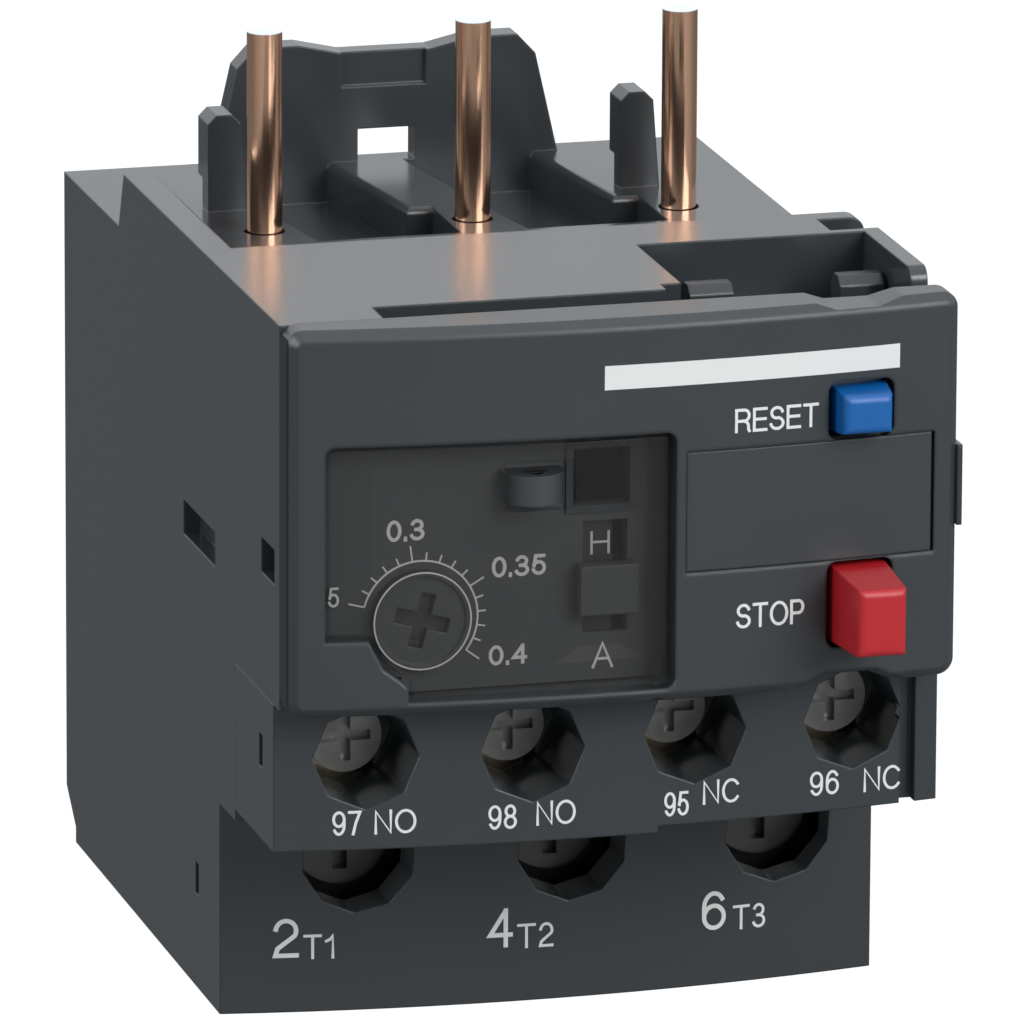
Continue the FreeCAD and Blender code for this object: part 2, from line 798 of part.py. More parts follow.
def housing_openings(body):
    """Screw bores, wire entries, pin bores, terminal slots and the slots in the left side."""
    bores = sketch_on(body, "PowerBoreCut", "XZ_Plane", size("power_reach") + 1)
    for x in POLES:
        many_sided(bores, (x, size("power_hole_height")), size("power_hole_radius"), 10, 14.0)
    pocket(body, "PowerBores", bores, size("power_reach") + 1 + CHAMBER_FRONT + 0.5)
    wires = sketch_on(body, "PowerWireCut", "XY_Plane", -1)
    half = size("power_wire_width") / 2
    rear = size("power_wire_rear")
    for x in POLES:
        rectangle(wires, (x - half, x + half), (rear - size("power_wire_depth"), rear))
    pocket(body, "PowerWires", wires, size("floor_wall") + 1.5, along_normal=True)
    pins = sketch_on(body, "PinCut", "XY_Plane", size("platform_top") + 0.5)
    for x in POLES:
        circle(pins, (x, size("pin_rear")), size("pin_radius") + size("pin_clearance"))
    pocket(body, "PinBores", pins, size("platform_top") - size("chamber_top") + 1)
    terminals = sketch_on(body, "TerminalSlotCut", "XY_Plane", size("shelf_height") - 0.5)
    strip_half = size("terminal_width") / 2 + size("seat_gap")
    front = -TERMINAL_REACH - size("seat_gap")
    rear = size("terminal_thickness") - TERMINAL_REACH + size("seat_gap")
    for x in AUX_PLACES:
        rectangle(terminals, (x - strip_half, x + strip_half), (front, rear))
    pocket(body, "TerminalSlots", terminals, FRONT_CHAMBER_LOW - size("shelf_height") + 1, along_normal=True)


def housing_side_marks(body):
    """Two moulded slots in the left side."""
    slots = sketch_on(body, "SideSlotCut", "YZ_Plane", -HALF)
    rear = size("side_slot_rear")
    low = size("side_slot_low")
    rectangle(slots, (rear - size("side_slot_length"), rear), (low, low + size("side_slot_height")))
    front = -LATCH_SLOT_REACH
    low = size("latch_slot_low")
    rectangle(slots, (front - size("latch_slot_length"), front), (low, low + size("side_slot_height")))
    rear = -size("slit_reach")
    low = size("slit_low")
    rectangle(slots, (rear - size("slit_length"), rear), (low, low + size("slit_height")))
    pocket(body, "SideSlots", slots, size("slot_depth"), along_normal=True)


def housing_scoops(body):
    """Two skewed pockets between the pins, each with a jog where its rib begins."""
    rear = REAR - size("hook_thickness")
    run = rear - size("scoop_jog")
    lean = size("scoop_skew") / run
    for number in range(2):
        right = POLES[number + 1] - size("scoop_step")
        rib = right - size("scoop_step")
        rear_left = rib - size("scoop_skew") - POLE_PITCH + size("scoop_gap")
        outline = loop(sketch_on(body, "Scoop%dOutline" % (number + 1), "XY_Plane", size("platform_top")), [
            (right, size("scoop_front")),
            (right, size("scoop_jog")),
            (rib, size("scoop_jog")),
            (rib - size("scoop_skew"), rear),
            (rear_left, rear),
            (rear_left + lean * (rear - size("scoop_front")), size("scoop_front")),
        ])
        hollow = pocket(body, "Scoop%d" % (number + 1), outline, size("platform_top") - size("scoop_floor"))
        name = "Scoop%d" % (number + 1)
        rounded = round_edges(body, name + "Rounding", hollow, size("scoop_round"), scoop_left_edge(rib))
        round_edges(body, name + "Ridge", rounded, size("ridge_round"), ridge_edge(rib))


def scoop_left_edge(rib):
    """A test for the floor edges on the left and front of one scoop."""
    floor = SIZES["scoop_floor"]
    front = SIZES["scoop_front"]
    reach = SIZES["scoop_skew"] + POLE_PITCH.number - SIZES["scoop_gap"] + 1

    def test(start, stop, limits):
        low = abs(start.z - floor) < 1e-3 and abs(stop.z - floor) < 1e-3
        near = rib.number - reach < min(start.x, stop.x) < rib.number - 2 * SIZES["scoop_skew"]
        leaning = abs(start.y - stop.y) > 5
        along_front = abs(start.y - front) < 1e-3 and abs(stop.y - front) < 1e-3
        return low and near and (leaning or along_front)
    return test


def ridge_edge(rib):
    """A test for the upper edges of the ridge on the right of one scoop."""
    top = SIZES["platform_top"]
    jog = SIZES["scoop_jog"]
    left = rib.number - SIZES["scoop_skew"] - 0.01
    right = rib.number + SIZES["scoop_step"] + 0.01

    def test(start, stop, limits):
        level = abs(start.z - top) < 1e-3 and abs(stop.z - top) < 1e-3
        near = left < min(start.x, stop.x) and max(start.x, stop.x) < right
        return level and near and min(start.y, stop.y) > jog - 0.01
    return test


def housing_hook(body):
    """The hooked plate at the rear edge of the platform, with a dipped top and a window."""
    middle = -size("hook_shift")
    base = size("platform_top")
    foot = POLE_PITCH - size("hook_margin")
    shoulder = foot - size("hook_lean")
    tip = foot - size("hook_tip_lean")
    dip = size("hook_dip_width") / 2
    top = size("hook_top")
    lower = top - size("hook_dip")
    plate = loop(sketch_on(body, "HookOutline", "XZ_Plane", -REAR), [
        (middle - foot, base - 1),
        (middle + foot, base - 1),
        (middle + foot, base),
        (middle + shoulder, size("hook_shoulder")),
        (middle + tip, top),
        (middle + dip * 2, top),
        (middle + dip, lower),
        (middle - dip, lower),
        (middle - dip * 2, top),
        (middle - tip, top),
        (middle - shoulder, size("hook_shoulder")),
        (middle - foot, base),
    ])
    pad(body, "HookPlate", plate, size("hook_thickness"))
    window = sketch_on(body, "HookWindowCut", "XZ_Plane", 0.5 - REAR + size("hook_thickness"))
    half = size("hook_window_width") / 2
    rectangle(window, (middle - half, middle + half), (base, base + size("hook_window_height")))
    pocket(body, "HookWindow", window, size("hook_thickness") + 1)
    relief = sketch_on(body, "HookReliefCut", "XZ_Plane", 0.5 - REAR + size("hook_thickness"))
    width = (-size("hook_relief_left"), size("hook_relief_right"))
    rectangle(relief, width, (size("hook_relief_low"), top + 1))
    pocket(body, "HookRelief", relief, 0.5 + size("hook_relief_depth"))


def housing_tabs(body):
    """Two guide tabs behind the pins, with chamfered tips and a nose to the rear."""
    base = size("platform_top")
    top = base + size("tab_height")
    half = size("tab_width") / 2
    chamfer = size("tab_chamfer")
    notch = base + size("tab_notch")
    for number, pole in enumerate((POLES[0], POLES[2]), start=1):
        x = pole - size("tab_shift")
        name = "Tab%d" % number
        blade = loop(sketch_on(body, name + "Outline", "XZ_Plane", -size("tab_front")), [
            (x - half, base - 0.5),
            (x + half + size("tab_lean"), base - 0.5),
            (x + half, top - chamfer),
            (x + half - chamfer, top),
            (x - half + chamfer, top),
            (x - half, top - chamfer),
        ])
        pad(body, name, blade, size("tab_depth"), backwards=True)
        nose_front = size("tab_front") + size("tab_depth")
        nose = loop(sketch_on(body, name + "NoseOutline", "XZ_Plane", -nose_front), [
            (x - half, notch),
            (x + half, notch),
            (x + half, top - chamfer),
            (x + half - chamfer, top),
            (x - half + chamfer, top),
            (x - half, top - chamfer),
        ])
        pad(body, name + "Nose", nose, size("tab_nose"), backwards=True)


def make_main_housing():
    body = new_body("MainHousing")
    housing_shell(body)
    housing_top(body)
    housing_clips(body)
    housing_chambers(body)
    housing_ribs(body)
    housing_openings(body)
    housing_side_marks(body)
    housing_scoops(body)
    housing_hook(body)
    housing_tabs(body)
    node(body, "main_housing")


def make_rear_cover():
    """The plate that closes the rear chamber, resting on the ends of the partitions."""
    gap = size("fit_gap") / 3
    plate = box(
        "RearCover",
        (gap - INNER, INNER - gap),
        (REAR - size("wall"), REAR),
        (size("floor_wall") + gap, size("chamber_top") - gap),
    )
    node(plate, "rear_cover")


# Auxiliary terminal block

def make_aux_block():
    body = new_body("AuxBlock")
    low = size("aux_low")
    back = -size("aux_back_reach")
    plan = front_profile(body, "AuxPlan", low, AUX_REACH, size("aux_bulge"), HALF, back)
    pad(body, "AuxBlockPad", plan, size("shelf_height") - low)
    under = sketch_on(body, "AuxStepCut", "XY_Plane", low - 1)
    rectangle(under, (size("aux_step_x"), HALF + 1), (-AUX_REACH - 1, back + 1))
    pocket(body, "AuxStep", under, size("aux_step") + 1, along_normal=True)
    bores = sketch_on(body, "AuxBoreCut", "XZ_Plane", AUX_REACH + 1)
    for x, height in zip(AUX_PLACES, AUX_HEIGHTS):
        many_sided(bores, (x, height), size("aux_hole_radius"), 8)
    pocket(body, "AuxBores", bores, AUX_REACH + 1 + AUX_BORE_END)
    wires = sketch_on(body, "AuxWireCut", "XY_Plane", low - 1)
    half = size("aux_wire_width") / 2
    front = AUX_BORE_END - 0.3
    for x in AUX_PLACES:
        rectangle(wires, (x - half, x + half), (front, front + size("aux_wire_depth")))
    pocket(body, "AuxWires", wires, size("shelf_height") - low + 2, along_normal=True)
    groove = sketch_on(body, "AuxGrooveCut", "XY_Plane", low - 1)
    x = AUX_GROOVE_X
    half = size("aux_groove_width") / 2
    bottom = size("aux_bulge") + size("aux_groove_depth") - AUX_REACH
    rectangle(groove, (x - half, x + half), (-AUX_REACH - 1, bottom))
    pocket(body, "AuxGroove", groove, size("shelf_height") - low + 2, along_normal=True)
    slit = sketch_on(body, "AuxSlitCut", "YZ_Plane", -HALF)
    front = -AUX_SLIT_REACH
    low = size("aux_slit_low")
    rectangle(slit, (front, front + size("slit_length")), (low, low + size("slit_height")))
    pocket(body, "AuxSlit", slit, size("slot_depth"), along_normal=True)
    node(body, "aux_terminal_block")


def make_aux_terminals():
    """Per terminal: a cross-head screw, its clamp plate and the strip that rises to the contacts."""
    strip_front = -TERMINAL_REACH
    for mark, x, height in zip(AUX_MARKS, AUX_PLACES, AUX_HEIGHTS):
        name = "Aux" + mark
        head_front = AUX_BORE_END - size("screw_head_length")
        long = size("screw_head_length")
        head = cylinder(name + "Head", size("screw_head_radius"), long, (x, head_front, height), "y")
        length = strip_front - 0.1 - AUX_BORE_END
        shaft = cylinder(name + "Shaft", size("screw_shaft_radius"), length, (x, AUX_BORE_END, height), "y")
        blank = fuse(name + "Blank", [head, shaft])
        slots = cross_slots(name, "screw_slot", x, head_front, height)
        screw = cut(name + "Screw", blank, slots)
        node(screw, "aux_screw_" + mark)
        half = size("aux_wire_width") / 2 - 0.2
        plate = box(
            name + "ClampPlate",
            (x - half, x + half),
            (AUX_BORE_END, AUX_BORE_END + size("clamp_thickness")),
            (height - size("aux_clamp_half"), height + size("aux_clamp_half")),
        )
        hole = cylinder(
            name + "ClampHole",
            size("screw_shaft_radius") + size("seat_gap"),
            size("clamp_thickness") + 2,
            (x, AUX_BORE_END - 1, height),
            "y",
        )
        node(cut(name + "Clamp", plate, [hole]), "aux_clamp_" + mark)
        half = size("terminal_width") / 2
        strip = box(
            name + "Strip",
            (x - half, x + half),
            (strip_front, strip_front + size("terminal_thickness")),
            (size("aux_low") + size("terminal_rise"), CONTACT_HEIGHT + 2),
        )
        node(strip, "aux_terminal_" + mark)


def cross_slots(name, kind, x, front, height):
    """Two crossed slots sunk into a head whose face looks forward, with the sizes of one kind of screw."""
    low = front - 1
    high = front + size(kind + "_depth")
    half = size(kind + "_length") / 2
    thin = size(kind + "_width") / 2
    across = box(name + "SlotAcross", (x - half, x + half), (low, high), (height - thin, height + thin))
    upright = box(name + "SlotUpright", (x - thin, x + thin), (low, high), (height - half, height + half))
    return [across, upright]


# Front cover and what it carries

def cover_body():
    """The moulded shell: convex front, hollow back, window, button holes, arch, dip and side catch."""
    body = new_body("CoverShell")
    low = size("cover_low")
    top = size("cover_top")
    reach = size("cover_reach")
    bulge = size("cover_bulge")
    plan = front_profile(body, "CoverPlan", low, reach, bulge, HALF, SEAT)
    block = pad(body, "CoverBlock", plan, top - low)
    corners = round_edges(body, "CoverCorners", block, size("cover_corner"), is_corner_along_y)
    bevel_edges(body, "CoverFrontEdges", corners, size("cover_edge"), is_cover_front)
    inner_bulge = bulge * INNER * INNER / (HALF * HALF)
    wall = size("wall")
    inner_reach = reach - size("cover_wall")
    inside = front_profile(body, "CoverInside", low + wall, inner_reach, inner_bulge, INNER, SEAT + 1)
    pocket(body, "CoverHollow", inside, top - low - wall * 2, along_normal=True)
    through = reach + 1 + SEAT + 1
    window = loop(sketch_on(body, "WindowCut", "XZ_Plane", reach + 1), window_corners(0))
    opening = pocket(body, "Window", window, through)
    round_edges(body, "WindowCorners", opening, size("window_corner"), is_window_corner)
    for name, bottom, height, width in (
        ("ResetHole", size("reset_low"), size("reset_height"), size("reset_width")),
        ("StopHole", size("stop_low"), size("stop_height"), size("stop_width")),
    ):
        hole = sketch_on(body, name + "Cut", "XZ_Plane", reach + 1)
        rectangle(hole, (BUTTON_X - width / 2, BUTTON_X + width / 2), (bottom, bottom + height))
        opening = pocket(body, name, hole, through)
        round_edges(body, name + "Corners", opening, size("button_hole_corner"), is_hole_corner(bottom, height))
    arch = sketch_on(body, "ArchCut", "XZ_Plane", reach + 1)
    centre = ARCH_X
    half = size("arch_width") / 2
    slope = size("arch_rise")
    loop(arch, [
        (centre - half, low - 1),
        (centre + half, low - 1),
        (centre + half, low),
        (centre + half - slope * 2, low + slope),
        (centre - half + slope * 2, low + slope),
        (centre - half, low),
    ])
    pocket(body, "Arch", arch, through)
    dip = sketch_on(body, "DipCut", "XZ_Plane", reach + 1)
    half = size("cover_dip_width") / 2
    depth = size("cover_dip")
    loop(dip, [
        (BUTTON_X - half, top),
        (BUTTON_X - half + depth * 3, top - depth),
        (BUTTON_X + half - depth * 4, top - depth),
        (BUTTON_X + half, top),
        (BUTTON_X + half, top + 1),
        (BUTTON_X - half, top + 1),
    ])
    pocket(body, "Dip", dip, through)
    catch = sketch_on(body, "CatchOutline", "YZ_Plane", HALF)
    front = bulge - reach + 0.2
    low = size("side_catch_low")
    rectangle(catch, (front, front + size("side_catch_depth")), (low, low + size("side_catch_height")))
    pad(body, "Catch", catch, size("side_catch_stand"))
    return body


def window_corners(gap):
    """The window's outline, with its stepped lower left corner; gap shrinks it for the lid."""
    left = -WINDOW_LEFT + gap
    right = size("window_right") - gap
    low = size("window_low") + gap
    high = size("window_high") - gap
    width = size("window_notch_width")
    height = size("window_notch_height")
    return [
        (left, low + height),
        (left + width * 0.52, low + height),
        (left + width * 0.7, low + height * 0.55),
        (left + width * 0.93, low + height * 0.33),
        (left + width, low + height / 4),
        (left + width, low),
        (right, low),
        (right, high),
        (left, high),
    ]


HINGE_X = size("window_right") - size("fit_gap") - size("hinge_radius")
HINGE_Y = size("hinge_radius") + size("lid_inset") - size("cover_reach") + 0.03


def make_front_cover():
    shell = cover_body()
    recess = curved_slab(
        "MarkerRecess",
        (size("marker_left"), MARKER_RIGHT),
        (size("marker_low"), size("marker_high")),
        as_dim(-1),
        size("marker_depth"),
    )
    hinge = cylinder(
        "HingeBore",
        size("hinge_pin_radius") + size("seat_gap"),
        size("window_high") - size("window_low") + 2.6,
        (HINGE_X, HINGE_Y, size("window_low") - 1.3),
    )
    node(cut("FrontCover", shell, [recess, hinge]), "front_cover")
    gap = size("seat_gap")
    plate = curved_slab(
        "MarkerPlate",
        (size("marker_left") + gap, MARKER_RIGHT - gap * 4),
        (size("marker_low") + gap, size("marker_high") - gap),
        as_dim(0.1),
        size("marker_depth"),
    )
    node(plate, "marker_plate")


def make_window_lid():
    """The clear lid: a curved pane, a hinge barrel with two pins, and a slot for the staple."""
    gap = size("fit_gap")
    low = size("window_low") + gap
    high = size("window_high") - gap
    front = size("lid_inset")
    back = front + size("lid_thickness")
    pane = curved_slab("LidPane", (gap - WINDOW_LEFT, HINGE_X), (low, high), front, back)
    outline = new_body("LidOutline")
    sketch = loop(sketch_on(outline, "LidSketch", "XZ_Plane", SEAT_REACH), window_corners(gap))
    prism = pad(outline, "LidPrism", sketch, size("seat_inset") + 1)
    round_edges(outline, "LidCorners", prism, size("window_corner") - gap, is_window_corner)
    pane = common("LidTrimmed", pane, outline)
    barrel = cylinder("LidBarrel", size("hinge_radius"), high - low, (HINGE_X, HINGE_Y, low))
    pin = cylinder("LidPin", size("hinge_pin_radius"), high - low + 2.2, (HINGE_X, HINGE_Y, low - 1.1))
    half = size("staple_width") / 2 + gap
    slot = box(
        "LidSlot",
        (-size("staple_x") - half, half - size("staple_x")),
        (-size("cover_reach") - 1, SEAT),
        (size("staple_low") - gap, size("staple_low") + size("staple_height") + size("staple_opening")),
    )
    node(cut("WindowLid", fuse("LidWhole", [pane, barrel, pin]), [slot]), "window_lid")


def make_scale_plate():
    """The plate under the lid: dial seat, selector slot, indicator window and the seal staple."""
    gap = size("seat_gap")
    low = size("cover_low") + size("wall") + gap
    high = size("cover_top") - size("wall") - gap
    blank = box("PlateBlank", (gap * 2 - INNER, size("plate_right")), (PLATE_FRONT, SEAT), (low, high))
    inner_radius = COVER_RADIUS - size("cover_wall") - gap * 2
    axis_y = COVER_RADIUS - size("cover_reach")
    bound = cylinder("PlateBound", inner_radius, high - low + 2, (0, axis_y, low - 1))
    plate = common("PlateTrimmed", blank, bound)
    half = size("staple_width") / 2
    x = -size("staple_x")
    front = size("lid_inset") - size("cover_reach") + 0.2
    low = size("staple_low")
    tall = size("staple_height")
    block = box("StapleBlock", (x - half, x + half), (front, PLATE_FRONT), (low, low + tall))
    nose = cylinder("StapleNose", half * 1.1, tall + 2, (x, front + half * 1.1, low - 1))
    staple = common("Staple", block, nose)
    frame_side = size("flag_window_size") / 2 + size("flag_frame")
    frame_low = size("flag_window_low") - size("flag_frame")
    flag_x = -size("flag_window_x")
    surround = box(
        "FlagFrame",
        (flag_x - frame_side, flag_x + frame_side),
        (PLATE_FRONT - 0.2, PLATE_FRONT),
        (frame_low, frame_low + frame_side * 2),
    )
    seat_radius = size("dial_shaft_radius") + size("seat_gap")
    shaft = cylinder("DialSeat", seat_radius, 10, (-DIAL_X, PLATE_FRONT - 5, DIAL_HEIGHT), "y")
    well_half = size("selector_well_width") / 2
    well = box(
        "SelectorWell",
        (-size("selector_x") - well_half, well_half - size("selector_x")),
        (PLATE_FRONT - 1, PLATE_FRONT + size("well_depth")),
        (size("selector_slot_low"), size("selector_slot_high")),
    )
    width = size("selector_slot_width") / 2
    slot = box(
        "SelectorSlot",
        (-width, width),
        (PLATE_FRONT - 1, SEAT + 1),
        (size("selector_slot_low"), size("selector_slot_high")),
    )
    side = size("flag_window_size") / 2
    window = box(
        "FlagWindow",
        (-size("flag_window_x") - side, side - size("flag_window_x")),
        (PLATE_FRONT - 1, SEAT + 1),
        (size("flag_window_low"), size("flag_window_low") + size("flag_window_size")),
    )
    seal = cylinder("SealHole", size("staple_hole"), tall + 2, (x, front + 1.1, low - 1))
    whole = fuse("PlateWhole", [plate, staple, surround])
    node(cut("ScalePlate", whole, [shaft, well, slot, window, seal]), "scale_plate")


# Moving pieces on the front

def make_setting_dial():
    """A rimmed head with a turned cross recess, its shaft and an eccentric cam at the rear end."""
    body = new_body("SettingDial")
    x = -DIAL_X
    height = DIAL_HEIGHT
    front = PLATE_REACH + size("dial_head")
    shaft = sketch_on(body, "DialShaftOutline", "XZ_Plane", DIAL_REAR)
    circle(shaft, (x, height), size("dial_shaft_radius"))
    pad(body, "DialShaft", shaft, PLATE_REACH - DIAL_REAR + 0.1)
    head = sketch_on(body, "DialHeadOutline", "XZ_Plane", PLATE_REACH)
    circle(head, (x, height), size("dial_radius"))
    pad(body, "DialHead", head, size("dial_head"))
    cam = sketch_on(body, "DialCamOutline", "XZ_Plane", DIAL_REAR)
    circle(cam, (x + size("dial_cam_offset"), height), size("dial_cam_radius"))
    pad(body, "DialCam", cam, size("dial_cam_thickness"))
    dish = sketch_on(body, "DialDishCut", "XZ_Plane", front + 0.5)
    circle(dish, (x, height), size("dial_radius") - size("dial_rim"))
    pocket(body, "DialDish", dish, 0.5 + size("dial_rim") / 2)
    cross = sketch_on(body, "DialCrossCut", "XZ_Plane", front + 0.5)
    arm = size("cross_length") / 2
    thin = size("cross_width") / 2
    cosine = Dim(math.cos(math.radians(SIZES["dial_turn"])), "cos(Sizes.dial_turn * 1 deg)")
    sine = Dim(math.sin(math.radians(SIZES["dial_turn"])), "sin(Sizes.dial_turn * 1 deg)")
    corners = []
    for u, v in (
        (-thin, -arm), (thin, -arm), (thin, -thin), (arm, -thin), (arm, thin), (thin, thin),
        (thin, arm), (-thin, arm), (-thin, thin), (-arm, thin), (-arm, -thin), (-thin, -thin),
    ):
        corners.append((x + u * cosine + v * sine, height - u * sine + v * cosine))
    pocket(body, "DialCross", loop(cross, corners), 0.5 + size("dial_rim") / 2 + size("cross_depth"))
    node(body, "setting_dial")


def make_mode_selector():
    """A square slider on the plate's face, with a stem through the slot and a keeper behind."""
    x = -size("selector_x")
    middle = size("selector_middle")
    wide = size("selector_width") / 2
    tall = size("selector_height") / 2
    head = box(
        "SelectorHead",
        (x - wide, x + wide),
        (PLATE_FRONT - size("seat_gap") - size("selector_head"), PLATE_FRONT - size("seat_gap")),
        (middle - tall, middle + tall),
    )
    stem_half = size("selector_stem_half")
    keeper_front = SEAT + size("fit_gap")
    stem = box(
        "SelectorStem",
        (-stem_half, stem_half),
        (PLATE_FRONT - size("seat_gap") - 0.01, keeper_front + 0.01),
        (middle - 1, middle + 1),
    )
    keeper_rear = keeper_front + size("keeper_thickness")
    keeper = box("SelectorKeeper", (x - wide, x + wide), (keeper_front, keeper_rear), (middle - tall, middle + tall))
    node(fuse("ModeSelector", [head, stem, keeper]), "mode_selector")


def make_button(name, middle, tall, width, stand):
    """A tapered cap with a core, two ears behind the cover's wall and a stem through the guide wall."""
    body = new_body(name + "Button")
    gap = size("button_gap")
    wide = width / 2 - gap
    high = tall / 2 - gap
    root = sketch_on(body, name + "Root", "XZ_Plane", BUTTON_ROOT)
    rectangle(root, (BUTTON_X - wide, BUTTON_X + wide), (middle - high, middle + high))
    length = BUTTON_FACE + stand - BUTTON_ROOT
    cap = pad(body, name + "Cap", root, length)
    cap.setExpression("TaperAngle", "-atan(Sizes.button_taper / %s)" % length.text)
    round_edges(body, name + "Rounding", cap, size("button_corner"), is_front_edge)
    axis_height = middle - size("stem_drop")
    half = size("ear_height") / 2
    back = EAR_REACH - size("ear_thickness")
    core = sketch_on(body, name + "CoreOutline", "XZ_Plane", back)
    rectangle(core, (BUTTON_X - wide, BUTTON_X + wide), (axis_height - half, axis_height + half))
    pad(body, name + "Core", core, BUTTON_ROOT - back)
    ears = sketch_on(body, name + "EarOutline", "XZ_Plane", back)
    side = wide + size("button_ear")
    rectangle(ears, (BUTTON_X - side, BUTTON_X + side), (axis_height - half, axis_height + half))
    pad(body, name + "Ears", ears, size("ear_thickness"))
    stem = sketch_on(body, name + "StemOutline", "XZ_Plane", STEM_END)
    circle(stem, (BUTTON_X, axis_height), size("stem_radius"))
    pad(body, name + "Stem", stem, back - STEM_END)
    return body


def make_spring(name, middle):
    """A coil of square wire between the ears' back and the guide wall; it reads the sheet in code."""
    wire = sheet.get("spring_wire")
    radius = sheet.get("spring_radius")
    face = sheet.get("cover_reach")
    front = sheet.get("ear_thickness") - (face - sheet.get("ear_inset")) + wire
    length = sheet.get("guide_inset") - face - wire - front
    helix = Part.makeHelix(length / sheet.get("spring_turns"), length, radius)
    corners = ((-wire, -wire), (wire, -wire), (wire, wire), (-wire, wire), (-wire, -wire))
    ring = [FreeCAD.Vector(radius + across, 0, along) for across, along in corners]
    spring = doc.addObject("Part::Feature", name)
    spring.Shape = Part.Wire(helix).makePipeShell([Part.makePolygon(ring)], True, True)
    spring.Placement = FreeCAD.Placement(
        FreeCAD.Vector(BUTTON_X.number, front, (middle - size("stem_drop")).number),
        TURNS["y"],
    )
    return spring


def make_buttons():
    reset = make_button("Reset", RESET_MIDDLE, size("reset_height"), size("reset_width"), size("reset_stand"))
    node(reset, "reset_button")
    stop = make_button("Stop", STOP_MIDDLE, size("stop_height"), size("stop_width"), size("stop_stand"))
    node(stop, "stop_button")
    node(make_spring("ResetSpring", RESET_MIDDLE), "reset_spring")
    node(make_spring("StopSpring", STOP_MIDDLE), "stop_spring")


# Power path, one set per pole

def make_pole(number, x):
    name = "Pole%d" % number
    pin_y = size("pin_rear")
    foot = size("pin_foot")
    base = size("platform_top")
    pin = cylinder(name + "Pin", size("pin_radius"), size("pin_top") - base, (x, pin_y, base))
    root = cylinder(name + "PinRoot", size("pin_root_radius"), base - foot, (x, pin_y, foot))
    lug_front = size("bimetal_y") + size("bimetal_width") / 2 + size("lug_gap")
    half = size("lug_half")
    lug = box(name + "PinLug", (x - half, x + half), (lug_front, pin_y + half), (foot - 1, foot + 0.5))
    node(fuse(name + "MainPin", [pin, root, lug]), "main_pin_%d" % number)
    thick = size("bimetal_thickness") / 2
    wide = size("bimetal_width") / 2
    middle = size("bimetal_y")
    heights = (size("bimetal_low"), size("bimetal_top"))
    strip = box(name + "Bimetal", (x - thick, x + thick), (middle - wide, middle + wide), heights)
    node(strip, "bimetal_%d" % number)
    node(heater(name, x, middle, thick, wide, lug_front), "heater_%d" % number)
    bar = size("bar_thickness")
    half = size("bar_half")
    bar_top = size("bimetal_low")
    tongue_rear = size("power_wire_rear")
    tongue_front = tongue_rear - bar
    width = (x - half, x + half)
    tongue = box(name + "Tongue", width, (tongue_front, tongue_rear), (size("power_clamp_low"), bar_top))
    shelf = box(name + "Shelf", width, (tongue_front, middle + wide + 0.5), (bar_top - bar, bar_top))
    node(fuse(name + "LoadBar", [tongue, shelf]), "load_bar_%d" % number)
    wall = size("power_clamp_wall")
    outer = size("power_clamp_half")
    front = size("power_clamp_front")
    height = size("power_hole_height")
    low = size("power_clamp_low")
    high = size("power_clamp_high")
    cage = box(name + "Cage", (x - outer, x + outer), (-front, tongue_rear + wall), (low, high))
    inner = outer - wall
    hollow = box(name + "CageHollow", (x - inner, x + inner), (wall - front, tongue_rear), (low - 1, high + 1))
    shaft_radius = size("power_screw_shaft_radius")
    hole = cylinder(name + "CageHole", shaft_radius + size("seat_gap"), wall + 1, (x, -front - 0.5, height), "y")
    node(cut(name + "Clamp", cage, [hollow, hole]), "power_clamp_%d" % number)
    head_long = size("power_screw_head_length")
    head_front = -front - head_long
    head = cylinder(name + "ScrewHead", size("power_screw_head_radius"), head_long, (x, head_front, height), "y")
    shaft = cylinder(name + "ScrewShaft", shaft_radius, size("power_screw_length"), (x, -front, height), "y")
    blank = fuse(name + "ScrewBlank", [head, shaft])
    slots = cross_slots(name, "power_slot", x, head_front, height)
    node(cut(name + "Screw", blank, slots), "power_screw_%d" % number)


def heater(name, x, middle, thick, wide, lug_front):
    """An insulating sleeve around the bimetal with square turns of heater wire and a lead to the pin's lug."""
    low = size("heater_low")
    pitch = size("heater_pitch")
    wire = size("heater_wire")
    inner = thick + 0.1
    sleeve_x = thick + 0.5
    sleeve_y = wide + 0.5
    turn_x = sleeve_x + wire * 0.7
    turn_y = sleeve_y + wire * 0.7
    turns = int(SIZES["heater_turns"])
    top = low + pitch * turns
    sleeve_heights = (low - 0.5, top + 0.5)
    pieces = [
        box(name + "Sleeve", (x - sleeve_x, x + sleeve_x), (middle - sleeve_y, middle + sleeve_y), sleeve_heights)
    ]
    for turn in range(turns):
        base = low + pitch * turn
        pieces.append(box(
            "%sTurn%d" % (name, turn + 1),
            (x - turn_x, x + turn_x),
            (middle - turn_y, middle + turn_y),
            (base, base + wire),
        ))
    lead = box(name + "Lead", (x - 0.6, x + 0.6), (middle + sleeve_y - 0.2, lug_front), (top - wire, size("pin_foot")))
    whole = fuse(name + "HeaterWhole", pieces + [lead])
    bore = box(
        name + "HeaterBore",
        (x - inner, x + inner),
        (middle - wide - 0.1, middle + wide + 0.1),
        (low - 2, top + 2),
    )
    return cut(name + "Heater", whole, [bore])


# Trip mechanism

def fingered_bar(name, height_limits, finger_starts, extra):
    """A bar across the poles with a finger beside each bimetal."""
    front = size("slider_front")
    rear = front + size("slider_thickness")
    ends = (POLES[0] - 4.2, POLES[2] + 2.2)
    pieces = [box(name + "Bar", ends, (front, rear), height_limits)]
    finger = size("slider_finger")
    tip = size("bimetal_y") + 1
    for number, start in enumerate(finger_starts, start=1):
        width = (start, start + finger)
        pieces.append(box("%sFinger%d" % (name, number), width, (rear - 0.01, tip), height_limits))
    return fuse(name, pieces + extra)


